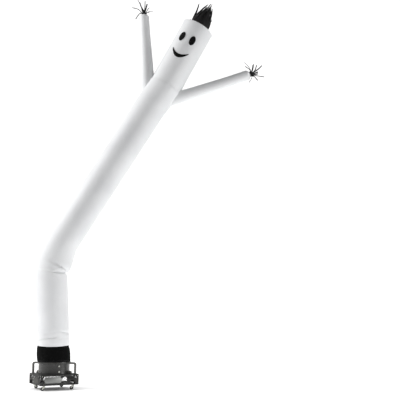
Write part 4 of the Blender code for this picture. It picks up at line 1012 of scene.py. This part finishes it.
# a solid from flat outlines given thickness; each outline's points go through its own placing
def slabData(slabs):
    points, faces = [], []
    for outline, low, high, place in slabs:
        start, count = len(points), len(outline)
        points += [place(u, v, level) for level in (low, high) for u, v in outline]
        faces.append(tuple(start + i for i in range(count)))
        faces.append(tuple(start + count + i for i in range(count)))
        for i in range(count):
            after = (i + 1) % count
            faces.append((start + i, start + after, start + count + after, start + count + i))
    return points, faces


# a closed mesh with its faces turned out
def closedMesh(name, points, faces):
    shape = bmesh.new()
    verts = [shape.verts.new(p) for p in points]
    for face in faces:
        shape.faces.new([verts[i] for i in face])
    bmesh.ops.recalc_face_normals(shape, faces=shape.faces)
    mesh = bpy.data.meshes.new(name)
    shape.to_mesh(mesh)
    shape.free()
    return mesh


def looseObject(name, mesh):
    made = bpy.data.objects.new(name, mesh)
    bpy.context.scene.collection.objects.link(made)
    return made


# cuts, joins or bevels are worked into the mesh at once, and the tools are removed
def workIn(piece, helpers=()):
    bpy.context.view_layer.update()
    graph = bpy.context.evaluated_depsgraph_get()
    made = bpy.data.meshes.new_from_object(piece.evaluated_get(graph))
    piece.modifiers.clear()
    piece.data = made
    for helper in helpers:
        bpy.data.objects.remove(helper, do_unlink=True)


def cutWith(piece, cutter, operation="DIFFERENCE"):
    modifier = piece.modifiers.new(cutter.name, "BOOLEAN")
    modifier.operation = operation
    modifier.solver = "EXACT"
    modifier.object = cutter
    cutter.hide_render = True


# gives a finished mesh its place in the blower, its finish and its body
def blowerPiece(piece, material, body=rootBody, smoothAngle=32.0, place=None):
    mesh = piece.data
    mesh.transform((place or toBlower) @ piece.matrix_basis)
    piece.matrix_basis = Matrix()
    mesh.materials.clear()
    mesh.materials.append(material)
    mesh.shade_smooth()
    mesh.set_sharp_from_angle(angle=math.radians(smoothAngle))
    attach(piece, body)
    return piece


# turns a mesh that points up so that it points out
def facing(out):
    return Vector((0.0, 0.0, 1.0)).rotation_difference(out).to_matrix().to_4x4()


def softEdges(piece, width, segments=2, angle=35.0):
    bevel = piece.modifiers.new("softEdges", "BEVEL")
    bevel.width = width
    bevel.segments = segments
    bevel.limit_method = "ANGLE"
    bevel.angle_limit = math.radians(angle)


def onSide(turns):
    spin = Matrix.Rotation(math.radians(90.0 * turns), 3, "Z")
    return lambda u, v, level: spin @ Vector((u, -level, v))


def archOutline(middle, halfWidth, steps=18):
    turns = [math.pi * step / steps for step in range(steps + 1)]
    foot, height = panSet["archFoot"], panSet["archHeight"]
    return [(middle + halfWidth * math.cos(turn), foot + height * math.sin(turn)) for turn in turns]


def roundedSquare(half, radius, steps=5):
    outline = []
    for quarter in range(4):
        cx, cy = ((1, 1), (-1, 1), (-1, -1), (1, -1))[quarter]
        for step in range(steps + 1):
            turn = math.pi / 2 * (quarter + step / steps)
            side = half - radius
            outline.append((cx * side + radius * math.cos(turn), cy * side + radius * math.sin(turn)))
    return outline


# stacked rounded squares make the pan's outside and its hollow
def stackedSquares(name, levels):
    points, faces = [], []
    for half, radius, level in levels:
        points += [(u, v, level) for u, v in roundedSquare(half, radius)]
    count = len(points) // len(levels)
    faces.append(tuple(range(count)))
    faces.append(tuple(range(len(points) - count, len(points))))
    for row in range(len(levels) - 1):
        for i in range(count):
            a, b = row * count + i, row * count + (i + 1) % count
            faces.append((a, b, b + count, a + count))
    return looseObject(name, closedMesh(name, points, faces))


def panPiece():
    half, edge, wall = panSet["side"] / 2, panSet["edge"], panSet["wall"]
    foot, top = panSet["foot"], panSet["top"]
    outside = [(half, edge, foot)]
    inside = [(half - wall, edge - wall, foot + wall)]
    for step in range(5):
        turn = math.pi / 2 * step / 4
        drop = edge * (1 - math.cos(turn))
        outside.append((half - drop, edge, top - edge + edge * math.sin(turn)))
        small = edge - wall
        level = top - edge + small * math.sin(turn)
        inside.append((half - wall - small * (1 - math.cos(turn)), small, level))
    pan = stackedSquares("panSheet", outside)
    hollow = stackedSquares("panHollow", inside)
    cutWith(pan, hollow)
    slabs = []
    low, high = half - 0.012, half + 0.010
    reach = half - 0.024
    for turns in range(4):
        place = onSide(turns)
        arch = panSet["archPlace"] if turns in (0, 2) else -panSet["archPlace"]
        corner = -half if turns in (0, 2) else half
        blocked = [
            (arch - 0.049, arch + 0.049, 0.143),
            (corner - 0.066, corner + 0.066, 0.143),
        ]
        if turns % 2:
            near, far, z0, z1 = panSet["window"]
            u0, u1 = -far, -near
            slabs.append(([(u0, z0), (u1, z0), (u1, z1), (u0, z1)], low, high, place))
            blocked.append((u0 - 0.028, u1 + 0.008, 1.0))
        slabs.append((archOutline(arch, panSet["archWidth"]), low, high, place))
        a, b = panSet["cellWide"] / 2, panSet["cellHigh"] / 2
        for row, level in enumerate(panSet["cellRows"]):
            for column in range(-14, 15):
                u = column * panSet["cellPitch"] + (panSet["cellPitch"] / 2 if row % 2 else 0.0)
                shut = abs(u) + a > reach
                for first, last, ceiling in blocked:
                    shut |= first < u + a and last > u - a and level - b < ceiling
                if not shut:
                    diamond = [(u + a, level), (u, level + b), (u - a, level), (u, level - b)]
                    slabs.append((diamond, low, high, place))
    cutter = looseObject("panCuts", closedMesh("panCuts", *slabData(slabs)))
    cutWith(pan, cutter)
    diagonal = Matrix.Rotation(math.radians(-45.0), 3, "Z")
    onCorner = lambda u, v, level: diagonal @ Vector((u, level, v))
    corners = []
    for sign in (-1, 1):
        ends = sorted((sign * (half * math.sqrt(2) - 0.075), sign * (half * math.sqrt(2) + 0.02)))
        corners.append((archOutline(0.0, panSet["cornerArch"]), *ends, onCorner))
    cornerCutter = looseObject("panCornerCuts", closedMesh("panCornerCuts", *slabData(corners)))
    cutWith(pan, cornerCutter)
    mouthTurns = [2 * math.pi * i / 64 for i in range(64)]
    mouth = [(panSet["mouth"] * math.cos(t), panSet["mouth"] * math.sin(t)) for t in mouthTurns]
    mouthSlab = (mouth, top - 0.02, top + 0.02, lambda u, v, level: Vector((u, v, level)))
    mouthCutter = looseObject("panMouth", closedMesh("panMouth", *slabData([mouthSlab])))
    cutWith(pan, mouthCutter)
    workIn(pan, (hollow, cutter, cornerCutter, mouthCutter))
    return blowerPiece(pan, boxCoat)


pan = panPiece()
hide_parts("blower_box")


# a profile of radius and height spun round an axis, closed on itself
def spunPiece(name, profile, sides, material, place=None, body=rootBody, smoothAngle=32.0, ripple=None):
    points, faces = [], []
    for i in range(sides):
        turn = 2 * math.pi * i / sides
        for radius, level in profile:
            size = radius + (ripple(i, radius) if ripple else 0.0)
            points.append((size * math.cos(turn), size * math.sin(turn), level))
    count = len(profile)
    for i in range(sides):
        a, b = i * count, (i + 1) % sides * count
        for row in range(count):
            after = (row + 1) % count
            faces.append((a + row, b + row, b + after, a + after))
    piece = looseObject(name, closedMesh(name, points, faces))
    return blowerPiece(piece, material, body, smoothAngle, place)


# rounds the corners of a profile with short arcs
def filletProfile(corners, radius, steps=3):
    made = []
    count = len(corners)
    for i, corner in enumerate(corners):
        here = Vector(corner)
        before, after = Vector(corners[i - 1]) - here, Vector(corners[(i + 1) % count]) - here
        size = min(radius, before.length * 0.45, after.length * 0.45)
        start, end = here + before.normalized() * size, here + after.normalized() * size
        for step in range(steps + 1):
            t = step / steps
            made.append(tuple(start * (1 - t) ** 2 + here * 2 * t * (1 - t) + end * t * t))
    return made


drumSet = {
    "radius": 0.2150, "wall": 0.003, "flange": 0.230, "flangeFoot": 0.350, "flangeTop": 0.376, "foot": 0.2143,
    "band": 0.2180, "rim": 0.2205, "rimFoot": 0.424, "rimTop": 0.450, "ribs": 90,
}
bore = drumSet["radius"] - drumSet["wall"]
drumCorners = [
    (bore, drumSet["foot"]), (drumSet["radius"] + 0.0015, drumSet["foot"]),
    (drumSet["radius"] + 0.0015, drumSet["foot"] + 0.005),
    (drumSet["radius"], drumSet["foot"] + 0.008), (drumSet["radius"], drumSet["flangeFoot"]),
    (drumSet["flange"], drumSet["flangeFoot"] + 0.004), (drumSet["flange"], drumSet["flangeTop"]),
    (bore, drumSet["flangeTop"]),
]
drum = spunPiece("drumShell", filletProfile(drumCorners, 0.003), 144, drumCoat)
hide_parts("drum")
ribHeight = 0.0016
bandCorners = [(bore, 0.3763), (drumSet["band"], 0.3763), (drumSet["band"], 0.4237), (bore, 0.4237)]
band = spunPiece(
    "drumBandRibbed", filletProfile(bandCorners, 0.0015, 2), 360, bandRubber, smoothAngle=20.0,
    ripple=lambda i, radius: -ribHeight if radius > bore + 0.001 and i % 4 in (2, 3) else 0.0,
)
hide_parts("drum_band")
rimCorners = [
    (bore, drumSet["rimFoot"]), (drumSet["rim"], drumSet["rimFoot"]),
    (drumSet["rim"], drumSet["rimTop"]), (bore, drumSet["rimTop"]),
]
rim = spunPiece("drumRim", filletProfile(rimCorners, 0.006, 5), 144, rimCoat)
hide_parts("drum_rim")

print("handles, bolts and plates")


# a bar of rounded rectangular section along a flat path, given as points and their outward ways
def barPiece(name, path, halfThick, halfWide, corner, turn, material):
    section = []
    for cx, cy, start in ((1, 1, 0), (-1, 1, 1), (-1, -1, 2), (1, -1, 3)):
        for step in range(4):
            angle = math.pi / 2 * (start + step / 3)
            across = cx * (halfThick - corner) + corner * math.cos(angle)
            section.append((across, cy * (halfWide - corner) + corner * math.sin(angle)))
    points, faces = [], []
    for (x, z), (nx, nz) in path:
        points += [(x + s * nx, w, z + s * nz) for s, w in section]
    count = len(section)
    faces.append(tuple(range(count)))
    faces.append(tuple(range(len(points) - count, len(points))))
    for row in range(len(path) - 1):
        for i in range(count):
            a, b = row * count + i, row * count + (i + 1) % count
            faces.append((a, b, b + count, a + count))
    piece = looseObject(name, closedMesh(name, points, faces))
    place = toBlower @ Matrix.Rotation(math.radians(turn), 4, "Z")
    return blowerPiece(piece, material, place=place)


handleSet = {"reach": 0.336, "bar": 0.025, "top": 0.371, "bend": 0.034, "halfWidth": 0.017, "corner": 0.006}


def handlePath():
    middle = handleSet["reach"] - handleSet["bar"] / 2
    level = handleSet["top"] - handleSet["bar"] / 2
    centreX, centreZ = handleSet["reach"] - handleSet["bend"], handleSet["top"] - handleSet["bend"]
    radius = handleSet["bend"] - handleSet["bar"] / 2
    path = [((middle, panSet["top"] + 0.0003), (1.0, 0.0)), ((middle, 0.28), (1.0, 0.0))]
    for step in range(9):
        turn = math.pi / 2 * step / 8
        c, s = math.cos(turn), math.sin(turn)
        path.append(((centreX + radius * c, centreZ + radius * s), (c, s)))
    path.append(((0.26, level), (0.0, 1.0)))
    path.append(((drumSet["radius"] + 0.0008, level), (0.0, 1.0)))
    return path


boltLevels = (0.2475, 0.3225)


# hex bolt with its washer, standing on z = 0 and pointing up
def boltMesh(name, size=1.0, stud=True):
    points, faces = [], []

    def stack(rows, sides, twist=0.0):
        start = len(points)
        for radius, level in rows:
            for i in range(sides):
                turn = 2 * math.pi * (i + twist) / sides
                points.append((radius * size * math.cos(turn), radius * size * math.sin(turn), level * size))
        faces.append(tuple(start + i for i in range(sides)))
        faces.append(tuple(start + (len(rows) - 1) * sides + i for i in range(sides)))
        for row in range(len(rows) - 1):
            for i in range(sides):
                a, b = start + row * sides + i, start + row * sides + (i + 1) % sides
                faces.append((a, b, b + sides, a + sides))

    stack(((0.0122, 0.0), (0.0125, 0.0004), (0.0125, 0.0016), (0.0120, 0.0020)), 32)
    stack(((0.0088, 0.0021), (0.0090, 0.0024), (0.0090, 0.0072), (0.0082, 0.0084), (0.0074, 0.0086)), 6, 0.5)
    if stud:
        stack(((0.0040, 0.0080), (0.0040, 0.0114), (0.0034, 0.0120)), 16)
    return closedMesh(name, points, faces)


for side, turn in (("Left", 135.0), ("Right", -45.0)):
    handle = barPiece(
        "handleBar" + side, handlePath(), handleSet["bar"] / 2, handleSet["halfWidth"], handleSet["corner"],
        turn, handleCoat,
    )
    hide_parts("handle_" + side.lower())
    spin = Matrix.Rotation(math.radians(turn), 3, "Z")
    near, foot = drumSet["radius"] + 0.0008, panSet["top"] + 0.0003
    lugOutline = [(near, foot), (0.264, foot), (0.264, 0.244), (0.256, 0.252), (near, 0.252)]
    lugSlab = (lugOutline, -0.019, 0.019, lambda u, v, level: spin @ Vector((u, level, v)))
    lugMesh = closedMesh("lugBlock" + side, *slabData([lugSlab]))
    lug = looseObject("lugBlock" + side, lugMesh)
    softEdges(lug, 0.0022, 3)
    workIn(lug)
    blowerPiece(lug, handleCoat)
    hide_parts("lug_" + side.lower())
    lugBolt = looseObject("lugBolt" + side, boltMesh("lugBolt" + side, 0.62, False))
    lugSpot = Matrix.Translation((0.240, 0.0, 0.2521))
    lugBolt.matrix_basis = Matrix.Rotation(math.radians(turn), 4, "Z") @ lugSpot
    blowerPiece(lugBolt, zincPlate)

for turns, side in enumerate(("front", "right", "back", "left")):
    for level, end in zip(boltLevels, ("low", "high")):
        node = "drum_bolt_" + side + "_" + end
        bolt = looseObject("drumBolt" + side.title() + end.title(), boltMesh("drumBolt"))
        out = Matrix.Rotation(math.radians(90.0 * turns - 90.0), 3, "Z") @ Vector((1.0, 0.0, 0.0))
        spot = out * (drumSet["radius"] - 0.0003) + Vector((0.0, 0.0, level))
        bolt.matrix_basis = Matrix.Translation(spot) @ facing(out)
        blowerPiece(bolt, zincPlate)
        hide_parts(node)

baffleSet = {"length": 0.165, "turn": 14.0, "tab": 0.020, "thick": 0.0015, "foot": 0.086, "top": 0.170}


def bafflePiece(name, turns):
    bend = math.radians(baffleSet["turn"])
    start = -panSet["window"][1] - 0.011
    face = panSet["side"] / 2 + 0.0003
    tabEnd = start + baffleSet["tab"]
    line = [(start, face), (tabEnd - 0.004, face)]
    for step in range(1, 6):
        part = bend * step / 5
        last = line[-1]
        line.append((last[0] + 0.0016 * math.cos(part), last[1] - 0.0016 * math.sin(part)))
    left = baffleSet["length"] - 0.004
    line.append((line[-1][0] + left * math.cos(bend), line[-1][1] - left * math.sin(bend)))
    outer = []
    for i, (u, level) in enumerate(line):
        before, after = Vector(line[max(0, i - 1)]), Vector(line[min(len(line) - 1, i + 1)])
        way = (after - before).normalized()
        outer.append((u - way.y * baffleSet["thick"], level + way.x * baffleSet["thick"]))
    place = onSide(turns)
    outline = line + outer[::-1]
    slab = (outline, baffleSet["foot"], baffleSet["top"], lambda u, v, level: place(u, level, v))
    mesh = closedMesh(name, *slabData([slab]))
    plate = looseObject(name, mesh)
    softEdges(plate, 0.0004, 1, 50.0)
    workIn(plate)
    blowerPiece(plate, baffleCoat)
    for level in (0.106, 0.150):
        bolt = looseObject(name + "Bolt", boltMesh(name + "Bolt", 0.5, False))
        spot = place(start + 0.009, level, face + baffleSet["thick"])
        out = place(0.0, 0.0, 1.0)
        bolt.matrix_basis = Matrix.Translation(spot) @ facing(out)
        blowerPiece(bolt, zincPlate)
    return plate


for name, node, turns in (("inletPlateLeft", "baffle_left", 3), ("inletPlateBack", "baffle_back", 1)):
    plate = bafflePiece(name, turns)
    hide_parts(node)

plateOutline = [
    (-0.226, 0.142), (-0.208, 0.184), (0.006, 0.184), (0.028, 0.142), (0.006, 0.102), (-0.208, 0.102),
]
face = panSet["side"] / 2 + 0.0003
plateSlab = (plateOutline, face, face + 0.0015, onSide(0))
blankPlate = looseObject("bareFrontPlate", closedMesh("bareFrontPlate", *slabData([plateSlab])))
softEdges(blankPlate, 0.0006, 2)
workIn(blankPlate)
blowerPiece(blankPlate, plateAluminium)
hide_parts("blank_plate")

# small screws that hold the pan's front, one near each lower corner
for turns in range(4):
    for u in (-0.252, 0.252):
        screw = looseObject("panScrew", boltMesh("panScrew", 0.45, False))
        place = onSide(turns)
        out = place(0.0, 0.0, 1.0)
        screw.matrix_basis = Matrix.Translation(place(u, 0.196, panSet["side"] / 2)) @ facing(out)
        blowerPiece(screw, zincPlate)

print("guard, motor and fan")


# wire guard: rings and spokes of round wire, small clips on the rim and a bare disc in the middle
def guardPiece():
    level = drumSet["rimTop"] + 0.0023
    wire = 0.0014
    radii = [0.046 + 0.0115 * i for i in range(15)]
    shape = bmesh.new()
    for radius in radii:
        around = 72
        sides = 6
        verts = []
        for i in range(around):
            turn = 2 * math.pi * i / around
            for k in range(sides):
                angle = 2 * math.pi * k / sides
                reach = radius + wire * math.cos(angle)
                height = level + wire * math.sin(angle)
                verts.append(shape.verts.new((reach * math.cos(turn), reach * math.sin(turn), height)))
        for i in range(around):
            for k in range(sides):
                a, b = i * sides + k, i * sides + (k + 1) % sides
                c, d = ((i + 1) % around) * sides + (k + 1) % sides, ((i + 1) % around) * sides + k
                shape.faces.new((verts[a], verts[b], verts[c], verts[d]))
    for spoke in range(6):
        turn = math.radians(60.0 * spoke)
        out = Vector((math.cos(turn), math.sin(turn), 0.0))
        side = Vector((-out.y, out.x, 0.0))
        up = Vector((0.0, 0.0, 1.0))
        spokeAndClip = ((0.040, 0.212, 0.0018, 0.0016, -0.0004), (0.206, 0.2165, 0.006, 0.0018, 0.0))
        for near, far, halfWide, halfHigh, lift in spokeAndClip:
            verts = [
                shape.verts.new(out * reach + side * w * halfWide + up * (level + lift + h * halfHigh))
                for reach in (near, far) for w, h in ((-1, -1), (1, -1), (1, 1), (-1, 1))
            ]
            shape.faces.new(verts[3::-1])
            shape.faces.new(verts[4:])
            for k in range(4):
                after = (k + 1) % 4
                shape.faces.new((verts[k], verts[after], verts[4 + after], verts[4 + k]))
    rows = (
        (0.044, level - 0.0018), (0.0455, level - 0.001), (0.0455, level + 0.001), (0.044, level + 0.0018),
        (0.010, level + 0.0022),
    )
    around = 48
    turns = [2 * math.pi * i / around for i in range(around)]
    rounds = [[shape.verts.new((r * math.cos(t), r * math.sin(t), z)) for t in turns] for r, z in rows]
    for low, high in zip(rounds, rounds[1:]):
        for i in range(around):
            shape.faces.new((low[i], low[(i + 1) % around], high[(i + 1) % around], high[i]))
    shape.faces.new(rounds[0][::-1])
    shape.faces.new(rounds[-1])
    bmesh.ops.recalc_face_normals(shape, faces=shape.faces)
    mesh = bpy.data.meshes.new("guardWire")
    shape.to_mesh(mesh)
    shape.free()
    return blowerPiece(looseObject("guardWire", mesh), wirePaint)


guard = guardPiece()
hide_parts("guard")

for node, material in (("motor", motorPaint), ("fan", fanPaint)):
    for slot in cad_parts[node].material_slots:
        slot.material = material

print("casters")

casterSet = {
    "place": 0.208, "trail": 0.020, "wheel": 0.025, "halfWidth": 0.0105,
    "casters": {"front": (-1, -1, 168.0), "left": (-1, 1, -22.0), "right": (1, -1, 138.0), "back": (1, 1, 150.0)},
}
forkLeg = [
    (-0.0170, 0.0548), (-0.0172, 0.0500), (-0.0120, 0.0430), (-0.0020, 0.0360), (0.0060, 0.0300), (0.0100, 0.0240),
    (0.0130, 0.0190), (0.0165, 0.0160), (0.0200, 0.0150), (0.0240, 0.0162), (0.0270, 0.0190), (0.0290, 0.0245),
    (0.0285, 0.0310), (0.0250, 0.0400), (0.0210, 0.0480), (0.0190, 0.0548),
]


# pressed fork: two legs, a crown, the ball race above it and the axle with its nuts
def forkPiece(name, place, body):
    flat = lambda u, v, level: Vector((u, v, level))
    upright = lambda u, v, level: Vector((u, level, v))
    crown = [(-0.017, -0.0155), (0.019, -0.0155), (0.019, 0.0155), (-0.017, 0.0155)]
    legs = [(forkLeg, -0.0155, -0.0130, upright), (forkLeg, 0.0130, 0.0155, upright)]
    points, faces = slabData([(crown, 0.0535, 0.0560, flat)] + legs)
    fork = looseObject(name, closedMesh(name, points, faces))
    softEdges(fork, 0.0006, 2, 40.0)
    workIn(fork)
    race = [
        (0.0030, 0.0555), (0.0140, 0.0555), (0.0152, 0.0566),
        (0.0152, 0.0606), (0.0138, 0.0618), (0.0030, 0.0625),
    ]
    shape = bmesh.new()
    shape.from_mesh(fork.data)
    sides = 32
    turns = [2 * math.pi * i / sides for i in range(sides)]
    grid = [[shape.verts.new((r * math.cos(t), r * math.sin(t), z)) for r, z in race] for t in turns]
    for i in range(sides):
        here, after = grid[i], grid[(i + 1) % sides]
        for k in range(len(race)):
            following = (k + 1) % len(race)
            shape.faces.new((here[k], after[k], after[following], here[following]))
    for sign in (-1, 1):
        boltSpot = Matrix.Translation((casterSet["trail"], sign * 0.0155, casterSet["wheel"]))
        boltTurn = boltSpot @ Matrix.Rotation(-sign * math.pi / 2, 4, "X")
        small = boltMesh("axleNut", 0.48, sign > 0)
        small.transform(boltTurn)
        shape.from_mesh(small)
    axleEnds = []
    for level in (-0.0150, 0.0150):
        axleEnds.append([
            shape.verts.new((
                casterSet["trail"] + 0.004 * math.cos(2 * math.pi * i / 16), level,
                casterSet["wheel"] + 0.004 * math.sin(2 * math.pi * i / 16),
            ))
            for i in range(16)
        ])
    for i in range(16):
        after = (i + 1) % 16
        shape.faces.new((axleEnds[0][i], axleEnds[0][after], axleEnds[1][after], axleEnds[1][i]))
    bmesh.ops.recalc_face_normals(shape, faces=shape.faces)
    mesh = bpy.data.meshes.new(name)
    shape.to_mesh(mesh)
    shape.free()
    fork.data = mesh
    return blowerPiece(fork, zincPlate, body, 32.0, place)


treadProfile = (
    (0.0185, -0.0098), (0.0205, -0.0104), (0.0226, -0.0100), (0.0243, -0.0086), (0.02495, -0.0060), (0.02500, 0.0),
    (0.02495, 0.0060), (0.0243, 0.0086), (0.0226, 0.0100), (0.0205, 0.0104), (0.0185, 0.0098), (0.0185, 0.0),
)
hubProfile = (
    (0.0048, -0.0105), (0.0085, -0.0105), (0.0100, -0.0094), (0.0110, -0.0070), (0.0160, -0.0070), (0.0172, -0.0088),
    (0.0186, -0.0094), (0.0186, 0.0094), (0.0172, 0.0088), (0.0160, 0.0070), (0.0110, 0.0070), (0.0100, 0.0094),
    (0.0085, 0.0105), (0.0048, 0.0105),
)
plateProfile = (
    (0.002, 0.0628), (0.0175, 0.0628), (0.0190, 0.0640), (0.0195, 0.0660), (0.0230, 0.0667),
    (0.0322, 0.0668), (0.0330, 0.0674), (0.0330, 0.0692), (0.0322, 0.0697), (0.002, 0.0697),
)

for name, (signX, signY, trail) in casterSet["casters"].items():
    spot = Matrix.Translation((signX * casterSet["place"], signY * casterSet["place"], 0.0))
    forkPlace = toBlower @ spot @ Matrix.Rotation(math.radians(trail), 4, "Z")
    title = name.title()
    fork = forkPiece("casterFork" + title, forkPlace, "caster_fork_" + name + "_body")
    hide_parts("caster_fork_" + name)
    axle = Matrix.Translation((casterSet["trail"], 0.0, casterSet["wheel"]))
    wheelPlace = forkPlace @ axle @ Matrix.Rotation(math.pi / 2, 4, "X")
    wheelBody = "caster_wheel_" + name + "_body"
    tread = spunPiece("casterTread" + title, treadProfile, 56, treadRubber, wheelPlace, wheelBody)
    hub = spunPiece("casterHub" + title, hubProfile, 48, hubNylon, wheelPlace, wheelBody)
    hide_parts("caster_wheel_" + name)
    plate = spunPiece("casterPlate" + title, plateProfile, 48, zincPlate, toBlower @ spot)
    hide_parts("caster_plate_" + name)
    nut = looseObject("casterNut" + title, boltMesh("casterNut"))
    nutSeat = Matrix.Translation((0.0, 0.0, panSet["foot"] + panSet["wall"] + 0.0003))
    nut.matrix_basis = spot @ nutSeat @ Matrix.Diagonal((0.76, 0.76, 1.3, 1.0))
    blowerPiece(nut, zincPlate)
    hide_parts("caster_nut_" + name)
